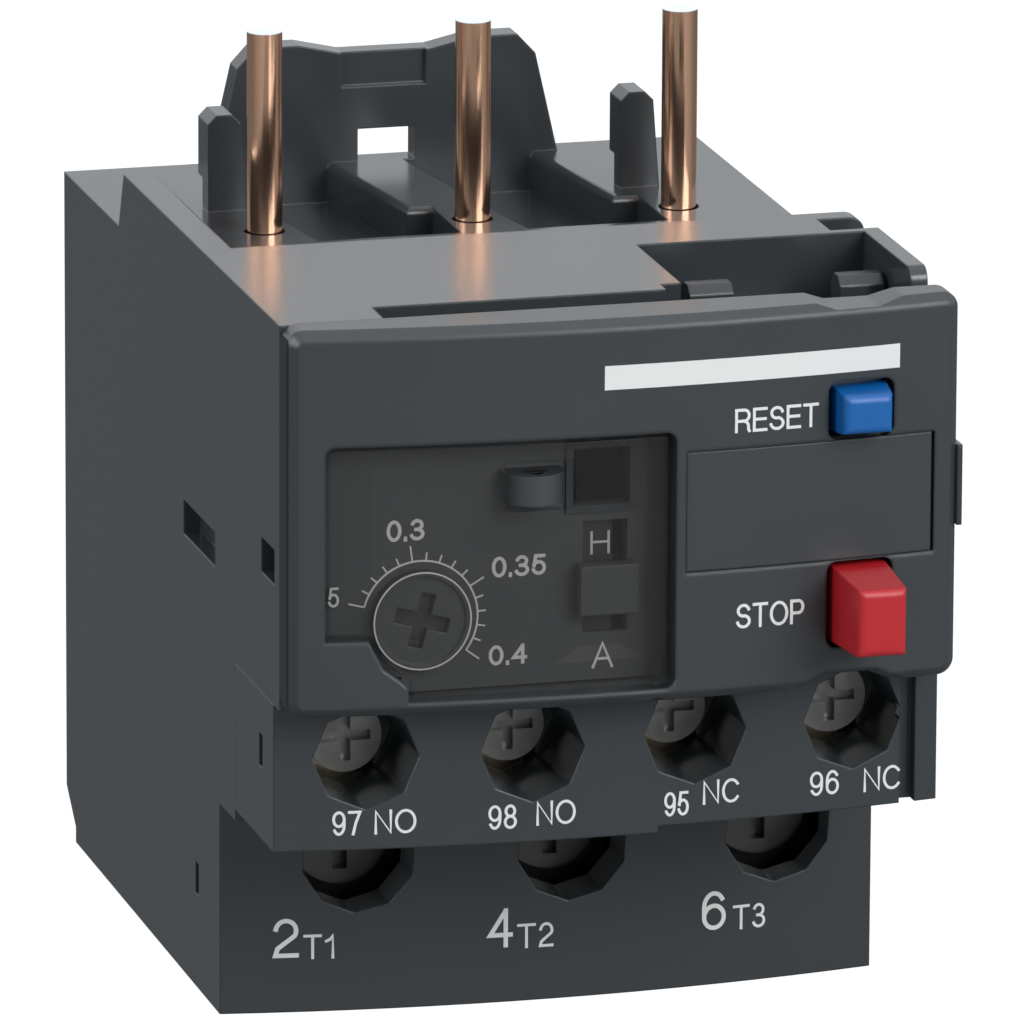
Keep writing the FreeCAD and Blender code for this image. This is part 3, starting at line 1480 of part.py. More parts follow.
def make_sliders():
    """The trip slider, with a post beside the lever, and the differential slider on top of it."""
    thick = size("bimetal_thickness") / 2
    gap = size("fit_gap")
    front = size("slider_front")
    low = size("slider_low")
    high = low + size("slider_height")
    post_right = size("lever_x") - size("lever_half") - gap
    post_x = (post_right - size("slider_finger"), post_right)
    foot = box("SliderFoot", post_x, (front - 2, front + 0.01), (low, high))
    post = box("SliderPost", post_x, (front - 2, front - gap), (low, size("lever_low") + size("lever_height")))
    right_sides = [x + thick + gap for x in POLES]
    node(fingered_bar("TripSlider", (low, high), right_sides, [foot, post]), "trip_slider")
    base = high + gap
    left_sides = [x - thick - gap - size("slider_travel") / 2 - size("slider_finger") for x in POLES]
    limits = (base, base + size("slider_height") * 0.7)
    node(fingered_bar("DifferentialSlider", limits, left_sides, []), "differential_slider")


def make_trip_lever():
    """A lever through the passage: its rear arm follows the slider and its front arm carries the trip flag."""
    x = size("lever_x")
    half = size("lever_half")
    pivot_y = CHAMBER_FRONT - size("bulkhead_wall") / 2
    low = size("lever_low")
    tall = size("lever_height")
    flag_y = SEAT + size("flag_setback")
    hub = cylinder("LeverHub", size("lever_hub"), tall, (x, pivot_y, low))
    arm_rear = size("slider_front") - size("fit_gap")
    arms = box("LeverArms", (x - half, x + half), (flag_y, arm_rear), (low, low + tall))
    flag_left = x - half + 0.2
    flag_top = size("flag_window_low") + size("flag_window_size") - size("fit_gap")
    flag = box("LeverFlag", (flag_left, flag_left + size("flag_width")), (flag_y, flag_y + 1), (low, flag_top))
    whole = fuse("LeverWhole", [hub, arms, flag])
    bore = cylinder("LeverBore", size("lever_pin_radius") + size("seat_gap"), tall + 2, (x, pivot_y, low - 1))
    node(cut("TripLever", whole, [bore]), "trip_lever")
    length = size("passage_high") - size("passage_low")
    node(cylinder("LeverPin", size("lever_pin_radius"), length, (x, pivot_y, size("passage_low"))), "lever_pin")


def contact_bridge(name, first, front):
    """A bar that joins two neighbouring terminal strips."""
    middle = CONTACT_HEIGHT
    half = size("bridge_half")
    ends = (AUX_PLACES[first] - half, AUX_PLACES[first + 1] + half)
    return box(name, ends, (front, front + size("bridge_thickness")), (middle - half, middle + half))


def make_contacts():
    """The carrier behind the strips, with an open bridge on it and a closed bridge on a post before the strips."""
    middle = CONTACT_HEIGHT
    strip_front = -TERMINAL_REACH
    open_front = strip_front + size("terminal_thickness") + size("contact_travel") + size("fit_gap")
    carrier_front = open_front + size("bridge_thickness")
    half = size("carrier_half")
    reach = size("bridge_half") / 2
    ends = (AUX_PLACES[0] - reach, AUX_PLACES[3] + reach)
    carrier_rear = carrier_front + size("carrier_thickness")
    bar = box("CarrierBar", ends, (carrier_front, carrier_rear), (middle - half, middle + half))
    x = (AUX_PLACES[2] + AUX_PLACES[3]) / 2
    small = size("bridge_half")
    heights = (middle - small, middle + small)
    post = box("CarrierPost", (x - half, x + half), (strip_front, carrier_front + 0.01), heights)
    node(fuse("ContactCarrier", [bar, post]), "contact_carrier")
    node(contact_bridge("OpenBridge", 0, open_front), "no_bridge")
    node(contact_bridge("ClosedBridge", 2, strip_front - size("bridge_thickness")), "nc_bridge")


make_main_housing()
make_rear_cover()
make_aux_block()
make_aux_terminals()
make_front_cover()
make_window_lid()
make_scale_plate()
make_setting_dial()
make_mode_selector()
make_buttons()
for pole_number, pole_x in enumerate(POLES, start=1):
    make_pole(pole_number, pole_x)
make_sliders()
make_trip_lever()
make_contacts()
doc.recompute()


def check_document():
    """Stops when any object has failed or any piece is empty or broken."""
    for thing in doc.Objects:
        if "Invalid" in thing.State or "Error" in thing.State:
            raise RuntimeError("%s failed: %s" % (thing.Name, thing.State))
    for piece in NODES:
        if piece.Shape.isNull() or not piece.Shape.isValid() or not piece.Shape.Solids:
            raise RuntimeError("%s has no valid solid" % piece.Label)


check_document()
os.makedirs("parts", exist_ok=True)
for piece in NODES:
    piece.Shape.exportStep(os.path.join("parts", piece.Label + ".step"))
    print("%s: %d solid(s), %.1f mm3" % (piece.Label, len(piece.Shape.Solids), piece.Shape.Volume))
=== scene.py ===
import json
import math

import bmesh
import bpy
from mathutils import Matrix, Vector


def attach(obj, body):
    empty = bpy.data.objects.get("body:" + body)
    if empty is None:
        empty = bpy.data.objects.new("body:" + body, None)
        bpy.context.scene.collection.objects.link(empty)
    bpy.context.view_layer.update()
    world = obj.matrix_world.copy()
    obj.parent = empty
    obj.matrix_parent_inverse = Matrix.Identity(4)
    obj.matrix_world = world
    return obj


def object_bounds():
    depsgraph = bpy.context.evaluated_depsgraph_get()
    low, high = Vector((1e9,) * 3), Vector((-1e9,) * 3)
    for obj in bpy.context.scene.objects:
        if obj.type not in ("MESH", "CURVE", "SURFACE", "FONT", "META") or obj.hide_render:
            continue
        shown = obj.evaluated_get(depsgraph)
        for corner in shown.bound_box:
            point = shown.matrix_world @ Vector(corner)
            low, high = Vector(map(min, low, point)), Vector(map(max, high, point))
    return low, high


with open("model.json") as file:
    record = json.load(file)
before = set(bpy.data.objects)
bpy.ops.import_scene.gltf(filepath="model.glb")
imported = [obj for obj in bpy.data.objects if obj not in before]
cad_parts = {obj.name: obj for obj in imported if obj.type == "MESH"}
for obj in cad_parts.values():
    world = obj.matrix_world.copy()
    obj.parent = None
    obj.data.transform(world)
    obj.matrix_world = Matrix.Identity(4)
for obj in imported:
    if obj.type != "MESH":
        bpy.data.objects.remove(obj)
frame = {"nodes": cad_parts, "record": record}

cad_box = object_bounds()
MM = 0.001

# Camera, solved from the photograph: a long lens, a little to the left and above.

CAMERA_PLACE = (-219.51, -808.74, 254.93)
CAMERA_TURN = 15.19
CAMERA_DROP = 14.99
CAMERA_ROLL = 0.29
CAMERA_LENS = 455.6


def make_camera():
    turn = math.radians(CAMERA_TURN)
    drop = math.radians(CAMERA_DROP)
    roll = math.radians(CAMERA_ROLL)
    ahead = Vector((math.sin(turn) * math.cos(drop), math.cos(turn) * math.cos(drop), -math.sin(drop)))
    level = Vector((math.cos(turn), -math.sin(turn), 0))
    above = level.cross(ahead)
    right = level * math.cos(roll) + above * math.sin(roll)
    up = above * math.cos(roll) - level * math.sin(roll)
    data = bpy.data.cameras.new("camera")
    data.sensor_width = 36
    data.lens = CAMERA_LENS
    data.clip_start = 0.05
    data.clip_end = 20
    camera = bpy.data.objects.new("camera", data)
    bpy.context.collection.objects.link(camera)
    placed = Matrix((right, up, -ahead)).transposed().to_4x4()
    placed.translation = Vector(CAMERA_PLACE) * MM
    camera.matrix_world = placed
    bpy.context.scene.camera = camera


# Studio

WORLD_LIGHT = 0.4
REAR_REFLECTION = 0.18
FRONT_REFLECTION = 0.44
HORIZON_LOW = -0.06
HORIZON_HIGH = 0.1
SKY_TINT = (0.96, 1.0, 1.035)
LAMP_TARGET = (0, 0, 0.03)
FLOOR_SIDE = 1.5
FLOOR_REAR = 2.5
FLOOR_SHADE = 0.35
FLOOR_WHITE = 0.9
FLOOR_GLOW = 1.12

# A Mix node's colour sockets share their names with its other sockets, so they are taken by number.
MIX_FIRST = 6
MIX_SECOND = 7
MIX_RESULT = 2


def feed(tree, socket, value):
    """Links another socket into this one, or sets it to a plain value."""
    if isinstance(value, bpy.types.NodeSocket):
        tree.links.new(value, socket)
    else:
        socket.default_value = value


def math_node(tree, operation, first, second):
    node = tree.nodes.new("ShaderNodeMath")
    node.operation = operation
    feed(tree, node.inputs[0], first)
    feed(tree, node.inputs[1], second)
    return node.outputs["Value"]


def mix_values(tree, factor, first, second):
    node = tree.nodes.new("ShaderNodeMix")
    feed(tree, node.inputs["Factor"], factor)
    feed(tree, node.inputs["A"], first)
    feed(tree, node.inputs["B"], second)
    return node.outputs["Result"]


def mix_colours(tree, factor, first, second):
    node = tree.nodes.new("ShaderNodeMix")
    node.data_type = "RGBA"
    feed(tree, node.inputs["Factor"], factor)
    feed(tree, node.inputs[MIX_FIRST], first)
    feed(tree, node.inputs[MIX_SECOND], second)
    return node.outputs[MIX_RESULT]


def make_lamp(name, place, width, height, watts):
    """A soft box that the camera itself doesn't see."""
    data = bpy.data.lights.new(name, "AREA")
    data.shape = "RECTANGLE"
    data.size = width
    data.size_y = height
    data.energy = watts
    lamp = bpy.data.objects.new(name, data)
    bpy.context.collection.objects.link(lamp)
    lamp.location = place
    lamp.rotation_mode = "QUATERNION"
    lamp.rotation_quaternion = (Vector(LAMP_TARGET) - Vector(place)).to_track_quat("-Z", "Y")
    lamp.visible_camera = False


def make_world():
    """White to the camera and through glass, soft for diffuse light, and darker below in reflections."""
    world = bpy.data.worlds.new("studio")
    bpy.context.scene.world = world
    world.use_nodes = True
    tree = world.node_tree
    nodes = tree.nodes
    links = tree.links
    nodes.clear()
    out = nodes.new("ShaderNodeOutputWorld")
    path = nodes.new("ShaderNodeLightPath")
    split = nodes.new("ShaderNodeSeparateXYZ")
    links.new(nodes.new("ShaderNodeTexCoord").outputs["Generated"], split.inputs["Vector"])
    raised = nodes.new("ShaderNodeMapRange")
    raised.inputs["From Min"].default_value = HORIZON_LOW
    raised.inputs["From Max"].default_value = HORIZON_HIGH
    links.new(split.outputs["Z"], raised.inputs["Value"])
    ahead = nodes.new("ShaderNodeMapRange")
    ahead.inputs["To Min"].default_value = REAR_REFLECTION
    ahead.inputs["To Max"].default_value = FRONT_REFLECTION
    links.new(math_node(tree, "MULTIPLY", split.outputs["Y"], -1.0), ahead.inputs["Value"])
    level = mix_values(tree, raised.outputs["Result"], ahead.outputs["Result"], 1.0)
    strength = mix_values(tree, path.outputs["Is Glossy Ray"], WORLD_LIGHT, level)
    clear = math_node(tree, "MAXIMUM", path.outputs["Is Camera Ray"], path.outputs["Is Transmission Ray"])
    white = nodes.new("ShaderNodeBackground")
    feed(tree, white.inputs["Color"], mix_colours(tree, clear, (*SKY_TINT, 1), (1, 1, 1, 1)))
    feed(tree, white.inputs["Strength"], mix_values(tree, clear, strength, 1.0))
    links.new(white.outputs["Background"], out.inputs["Surface"])


def make_floor():
    """A plain pale floor; the camera sees it near white, with the object's soft shadow."""
    mesh = bpy.data.meshes.new("floor")
    edit = bmesh.new()
    corners = (
        (-FLOOR_SIDE, -FLOOR_SIDE),
        (FLOOR_SIDE, -FLOOR_SIDE),
        (FLOOR_SIDE, FLOOR_REAR),
        (-FLOOR_SIDE, FLOOR_REAR),
    )
    for x, y in corners:
        edit.verts.new((x, y, cad_box[0].z))
    edit.faces.new(edit.verts)
    edit.to_mesh(mesh)
    edit.free()
    floor = bpy.data.objects.new("floor", mesh)
    bpy.context.collection.objects.link(floor)
    material = bpy.data.materials.new("pale_floor")
    material.use_nodes = True
    nodes = material.node_tree.nodes
    links = material.node_tree.links
    shader = nodes["Principled BSDF"]
    shader.inputs["Base Color"].default_value = (FLOOR_SHADE, FLOOR_SHADE, FLOOR_SHADE, 1)
    shader.inputs["Roughness"].default_value = 0.9
    shader.inputs["Specular IOR Level"].default_value = 0.0
    glow = nodes.new("ShaderNodeEmission")
    glow.inputs["Strength"].default_value = FLOOR_GLOW
    mix = nodes.new("ShaderNodeMixShader")
    path = nodes.new("ShaderNodeLightPath")
    share = math_node(material.node_tree, "MULTIPLY", path.outputs["Is Camera Ray"], FLOOR_WHITE)
    links.new(share, mix.inputs["Fac"])
    links.new(shader.outputs["BSDF"], mix.inputs[1])
    links.new(glow.outputs["Emission"], mix.inputs[2])
    links.new(mix.outputs["Shader"], nodes["Material Output"].inputs["Surface"])
    mesh.materials.append(material)
    floor.visible_glossy = False


def make_studio():
    make_world()
    make_floor()
    make_lamp("overhead_box", (0.05, -0.05, 0.75), width=0.9, height=0.9, watts=1.0)
    make_lamp("front_box", (0.5, -0.75, 0.5), width=0.7, height=0.5, watts=9.6)
    make_lamp("side_box", (-0.9, -0.1, 0.4), width=0.6, height=0.6, watts=4.5)


# Shared effects

EDGE_GAIN = 2.2
LOWEST_TONE = 0.95
TONE_SPAN = 0.1
CLOUD_DULLNESS = 0.04
STREAK_DULLNESS = 0.15


def new_group(name, inputs, outputs):
    """An empty node group with named sockets; inputs carry their usual values."""
    group = bpy.data.node_groups.new(name, "ShaderNodeTree")
    for label, kind, value in inputs:
        socket = group.interface.new_socket(name=label, in_out="INPUT", socket_type="NodeSocket" + kind)
        socket.default_value = value
    for label, kind in outputs:
        group.interface.new_socket(name=label, in_out="OUTPUT", socket_type="NodeSocket" + kind)
    return group, group.nodes.new("NodeGroupInput"), group.nodes.new("NodeGroupOutput")


def noise(tree, vector, scale, detail):
    node = tree.nodes.new("ShaderNodeTexNoise")
    node.inputs["Detail"].default_value = detail
    node.inputs["Scale"].default_value = scale
    tree.links.new(vector, node.inputs["Vector"])
    return node.outputs["Fac"]


def make_moulded_group():
    """Spark-eroded mould texture: a fine grain, slow cloudy tone and rubbed, paler edges."""
    group, given, result = new_group(
        "moulded_surface",
        [
            ("Color", "Color", (0.02, 0.02, 0.02, 1)),
            ("Edge Color", "Color", (0.1, 0.1, 0.1, 1)),
            ("Grain per Metre", "Float", 9000.0),
            ("Roughness", "Float", 0.4),
            ("Edge Radius", "Float", 0.0002),
        ],
        [("Color", "Color"), ("Roughness", "Float"), ("Height", "Float"), ("Normal", "Vector")],
    )
    nodes = group.nodes
    links = group.links
    place = nodes.new("ShaderNodeTexCoord").outputs["Object"]
    cloud = noise(group, place, scale=90.0, detail=3.0)
    grain_node = nodes.new("ShaderNodeTexNoise")
    grain_node.inputs["Detail"].default_value = 2.0
    links.new(place, grain_node.inputs["Vector"])
    links.new(given.outputs["Grain per Metre"], grain_node.inputs["Scale"])
    bevel = nodes.new("ShaderNodeBevel")
    bevel.samples = 4
    links.new(given.outputs["Edge Radius"], bevel.inputs["Radius"])
    geometry = nodes.new("ShaderNodeNewGeometry")
    turned = nodes.new("ShaderNodeVectorMath")
    turned.operation = "DOT_PRODUCT"
    links.new(bevel.outputs["Normal"], turned.inputs[0])
    links.new(geometry.outputs["Normal"], turned.inputs[1])
    bent = math_node(group, "SUBTRACT", 1.0, turned.outputs["Value"])
    edge = math_node(group, "MULTIPLY", bent, EDGE_GAIN)
    worn = math_node(group, "MULTIPLY", edge, cloud)
    shade = mix_colours(group, worn, given.outputs["Color"], given.outputs["Edge Color"])
    tone = nodes.new("ShaderNodeHueSaturation")
    links.new(shade, tone.inputs["Color"])
    lighter = math_node(group, "MULTIPLY", cloud, TONE_SPAN)
    links.new(math_node(group, "ADD", lighter, LOWEST_TONE), tone.inputs["Value"])
    links.new(tone.outputs["Color"], result.inputs["Color"])
    duller = math_node(group, "MULTIPLY", cloud, CLOUD_DULLNESS)
    rough = math_node(group, "ADD", given.outputs["Roughness"], duller)
    links.new(rough, result.inputs["Roughness"])
    links.new(grain_node.outputs["Fac"], result.inputs["Height"])
    links.new(bevel.outputs["Normal"], result.inputs["Normal"])
    return group


def make_drawn_metal_group():
    """Drawn or turned metal: long streaks, cloudy tarnish and a little bump."""
    group, given, result = new_group(
        "drawn_metal",
        [
            ("Color", "Color", (0.6, 0.6, 0.6, 1)),
            ("Tarnish Color", "Color", (0.3, 0.25, 0.2, 1)),
            ("Streak X", "Float", 4000.0),
            ("Streak Y", "Float", 4000.0),
            ("Streak Z", "Float", 150.0),
            ("Roughness", "Float", 0.25),
        ],
        [("Color", "Color"), ("Roughness", "Float"), ("Height", "Float")],
    )
    nodes = group.nodes
    links = group.links
    place = nodes.new("ShaderNodeTexCoord").outputs["Object"]
    stretch = nodes.new("ShaderNodeCombineXYZ")
    for axis in "XYZ":
        links.new(given.outputs["Streak " + axis], stretch.inputs[axis])
    scaled = nodes.new("ShaderNodeVectorMath")
    scaled.operation = "MULTIPLY"
    links.new(place, scaled.inputs[0])
    links.new(stretch.outputs["Vector"], scaled.inputs[1])
    streak = noise(group, scaled.outputs["Vector"], scale=1.0, detail=2.0)
    cloud = noise(group, place, scale=220.0, detail=4.0)
    tarnished = math_node(group, "MULTIPLY", cloud, streak)
    shade = mix_colours(group, tarnished, given.outputs["Color"], given.outputs["Tarnish Color"])
    links.new(shade, result.inputs["Color"])
    duller = math_node(group, "MULTIPLY", streak, STREAK_DULLNESS)
    rough = math_node(group, "ADD", given.outputs["Roughness"], duller)
    links.new(rough, result.inputs["Roughness"])
    links.new(streak, result.inputs["Height"])
    return group


MOULDED = make_moulded_group()
DRAWN = make_drawn_metal_group()


def new_material(name):
    material = bpy.data.materials.new(name)
    material.use_nodes = True
    return material, material.node_tree, material.node_tree.nodes["Principled BSDF"]


def moulded(name, colour, roughness, grain=9000.0, bump=0.00001, edge=1.25, radius=0.0002, alpha=1.0):
    """Moulded plastic of one colour."""
    material, tree, shader = new_material(name)
    effect = tree.nodes.new("ShaderNodeGroup")
    effect.node_tree = MOULDED
    effect.inputs["Color"].default_value = (*colour, 1)
    effect.inputs["Edge Color"].default_value = (*[min(1.0, part * edge) for part in colour], 1)
    effect.inputs["Grain per Metre"].default_value = grain
    effect.inputs["Roughness"].default_value = roughness
    effect.inputs["Edge Radius"].default_value = radius
    relief = tree.nodes.new("ShaderNodeBump")
    relief.inputs["Distance"].default_value = bump
    relief.inputs["Strength"].default_value = 0.6
    tree.links.new(effect.outputs["Height"], relief.inputs["Height"])
    tree.links.new(effect.outputs["Normal"], relief.inputs["Normal"])
    tree.links.new(relief.outputs["Normal"], shader.inputs["Normal"])
    tree.links.new(effect.outputs["Color"], shader.inputs["Base Color"])
    tree.links.new(effect.outputs["Roughness"], shader.inputs["Roughness"])
    shader.inputs["Alpha"].default_value = alpha
    return material


def drawn(name, colour, tarnish, roughness, streaks=(4000.0, 4000.0, 150.0)):
    """Bare metal with drawing marks."""
    material, tree, shader = new_material(name)
    effect = tree.nodes.new("ShaderNodeGroup")
    effect.node_tree = DRAWN
    effect.inputs["Color"].default_value = (*colour, 1)
    effect.inputs["Tarnish Color"].default_value = (*tarnish, 1)
    effect.inputs["Roughness"].default_value = roughness
    for axis, value in zip("XYZ", streaks):
        effect.inputs["Streak " + axis].default_value = value
    relief = tree.nodes.new("ShaderNodeBump")
    relief.inputs["Distance"].default_value = 0.00001
    relief.inputs["Strength"].default_value = 0.3
    tree.links.new(effect.outputs["Height"], relief.inputs["Height"])
    tree.links.new(relief.outputs["Normal"], shader.inputs["Normal"])
    tree.links.new(effect.outputs["Color"], shader.inputs["Base Color"])
    tree.links.new(effect.outputs["Roughness"], shader.inputs["Roughness"])
    shader.inputs["Metallic"].default_value = 1.0
    return material


def compare_place(tree, axis, limit, above):
    """One where the place along the axis, in millimetres, is above the limit (or below it), else nought."""
    split = tree.nodes.new("ShaderNodeSeparateXYZ")
    tree.links.new(tree.nodes.new("ShaderNodeNewGeometry").outputs["Position"], split.inputs["Vector"])
    return math_node(tree, "GREATER_THAN" if above else "LESS_THAN", split.outputs[axis], limit * MM)


def part_colour(material, colour, axis, limit, above=True):
    """Gives the material another colour beyond a plane."""
    tree = material.node_tree
    socket = tree.nodes["Principled BSDF"].inputs["Base Color"]
    beyond = compare_place(tree, axis, limit, above)
    feed(tree, socket, mix_colours(tree, beyond, socket.links[0].from_socket, (*colour, 1)))
    return material


CHARCOAL = (0.0325, 0.038, 0.0425)
# Painted shade for the recessed well behind the plate's face.
WELL_PAINTED_SHADE = (0.03, 0.032, 0.034)
# Painted shade for the cover's wall in the seam beside the housing.
SEAM_PAINTED_SHADE = (0.006, 0.007, 0.008)
SEAM_DULLNESS = 0.65
PLATE_FRONT = -27.0
PIN_END = 60.95
DIAL_DISH = -27.5
POWER_SCREW_TOP = 14.5
COVER_LEFT = -22.38


def make_pin_copper():
    """Drawn copper; its end faces are painted white, a painted reflection of the white backdrop."""
    material = drawn("pin_copper", (1.0, 0.6, 0.4), (0.8, 0.46, 0.3), 0.1)
    # Painted reflection: the pins' end faces above PIN_END are coloured white.
    return part_colour(material, (1, 1, 1), "Z", PIN_END)


def make_scale_plastic():
    """The grey plate; what stands in front of its face is charcoal, and the recessed well is painted darker
    as painted shade.
    """
    material = moulded("scale_plate", (0.062, 0.066, 0.069), 0.45, bump=0.000002, radius=0.00005)
    material = part_colour(material, CHARCOAL, "Y", PLATE_FRONT - 0.1, above=False)
    # Painted shade: everything deeper than the well's floor is painted darker.
    material = part_colour(material, WELL_PAINTED_SHADE, "Y", PLATE_FRONT + 0.4)
    return material


def make_dial_plastic():
    """The dial's grey, with painted shade in the recessed cross."""
    material = moulded("dial_plastic", (0.062, 0.066, 0.068), 0.45, bump=0.000002)
    # Painted shade: all deeper than the dial's dish, the recessed cross and the outer wall, is painted
    # dark.
    return part_colour(material, (0.03, 0.03, 0.031), "Y", DIAL_DISH)


def make_cover_plastic():
    """The cover; its left side wall, in the seam beside the housing, is rougher and painted near black as
    painted shade.
    """
    material = moulded("charcoal_cover", CHARCOAL, 0.3, 11000.0, 0.000002, radius=0.0004)
    tree = material.node_tree
    socket = tree.nodes["Principled BSDF"].inputs["Roughness"]
    seam = compare_place(tree, "X", COVER_LEFT, above=False)
    dull = math_node(tree, "MULTIPLY", seam, SEAM_DULLNESS)
    feed(tree, socket, math_node(tree, "ADD", socket.links[0].from_socket, dull))
    # Painted shade: left of COVER_LEFT the cover's side wall is painted near black.
    return part_colour(material, SEAM_PAINTED_SHADE, "X", COVER_LEFT, above=False)


def make_clamp_steel():
    """Passivated steel, with painted shade that makes it nearly black down in the power bores."""
    material = drawn("clamp_steel", (0.27, 0.26, 0.25), (0.014, 0.013, 0.012), 0.26, (900.0, 900.0, 900.0))
    # Painted shade: the steel below POWER_SCREW_TOP, down in the power bores, is painted nearly black.
    return part_colour(material, (0.09, 0.088, 0.085), "Z", POWER_SCREW_TOP, above=False)


FINISHES = {
    "housing_plastic": moulded("charcoal_housing", CHARCOAL, 0.2, bump=0.000002),
    "cover_plastic": make_cover_plastic(),
    "label_plastic": moulded("marker_plastic", (0.034, 0.0395, 0.044), 0.3, grain=14000.0, bump=0.000002),
    "smoked_window": moulded("smoked_window", (0.036, 0.035, 0.034), 0.2, bump=0.000001, alpha=0.24),
    "scale_plastic": make_scale_plastic(),
    "dial_plastic": make_dial_plastic(),
    "blue_plastic": moulded(
        "reset_blue", (0.003, 0.098, 0.34), 0.34, bump=0.000003, edge=1.5, radius=0.0003
    ),
    "red_plastic": moulded(
        "stop_red", (0.41, 0.012, 0.018), 0.34, bump=0.000003, edge=1.4, radius=0.0003
    ),
    "spring_steel": drawn("spring_wire", (0.7, 0.7, 0.68), (0.4, 0.38, 0.35), 0.2),
    "pin_copper": make_pin_copper(),
    "bimetal_strip": drawn("bimetal_strip", (0.6, 0.58, 0.54), (0.4, 0.36, 0.3), 0.3),
    "heater_alloy": drawn("heater_alloy", (0.3, 0.28, 0.26), (0.15, 0.12, 0.1), 0.45),
    "clamp_steel": make_clamp_steel(),
    "contact_brass": drawn("contact_brass", (0.4, 0.34, 0.24), (0.2, 0.16, 0.1), 0.3),
    "slider_plastic": moulded("black_polyamide", (0.012, 0.0118, 0.0115), 0.5, bump=0.000003),
}
PRINT_WHITE = moulded("white_print", (0.66, 0.665, 0.665), 0.5, 20000.0, 0.000001, radius=0.0)
PLATE_PRINT = moulded("plate_print", (0.8, 0.8, 0.78), 0.5, 20000.0, 0.000001, radius=0.0)
# Painted shade: the near-black film that stands for the shade inside the seal hole.
HOLE_PAINTED_SHADE = moulded("hole_painted_shade", (0.004, 0.004, 0.004), 0.5, bump=0.000001)
PALE_FAN = moulded("pale_fan", (0.095, 0.097, 0.1), 0.5, bump=0.000001, radius=0.0)


def finish_cad_nodes():
    """Every CAD node takes the finish of its slot."""
    for row in frame["record"]["subparts"]:
        node = frame["nodes"][row["node"]]
        node.data.materials.clear()
        node.data.materials.append(FINISHES[row["material_slot"]])


# Curved faces and print

def arc_face(reach, bulge, half_width=22.5):
    """A function that gives the depth, in millimetres, of a convex front at any place across it."""
    radius = (half_width ** 2 + bulge ** 2) / (2 * bulge)

    def depth(x):
        return radius - reach - math.sqrt(radius ** 2 - x ** 2)
    return depth


def flat_face(depth_value):
    def depth(x):
        return depth_value
    return depth


WELL_DEPTH = 0.5
DIAL_FRONT = -27.7
COVER_FACE = arc_face(30.1, 1.8)
AUX_FACE = arc_face(26.1, 1.8)
POWER_FACE = arc_face(11.7, 2.0)
PLATE_FACE = flat_face(PLATE_FRONT)
WELL_FACE = flat_face(PLATE_FRONT + WELL_DEPTH)
DIAL_FACE = flat_face(DIAL_FRONT)
FILM = 0.03
# Each stroke's front stands a hair further out than the one before, so crossing fronts never coincide.
STROKE_STEP = 0.0015
FINE_STROKE = 0.1
TERMINAL_STROKE = 0.11
PLAIN_STROKE = 0.12
BOLD_STROKE = 0.16
SAME_POINT = 0.000001
SHARPEST_MITRE = 0.2


def add_piece(name, mesh, material, body):
    piece = bpy.data.objects.new(name, mesh)
    bpy.context.collection.objects.link(piece)
    mesh.materials.append(material)
    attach(piece, body)
    return piece


def curve(centre, radii, start, stop, steps=14):
    """Points of an elliptical arc, by degrees anticlockwise from the right."""
    points = []
    for index in range(steps + 1):
        angle = math.radians(start + (stop - start) * index / steps)
        points.append((centre[0] + radii[0] * math.cos(angle), centre[1] + radii[1] * math.sin(angle)))
    return points


def half_turn(strokes):
    """The same strokes turned upside down, as a nine is a six."""
    return [[(1 - u, 1 - v) for u, v in stroke] for stroke in strokes]


SIX = [
    curve((0.5, 0.6), (0.5, 0.4), 35, 180) + [(0, 0.34)],
    curve((0.5, 0.32), (0.5, 0.32), 180, 540, 22),
]

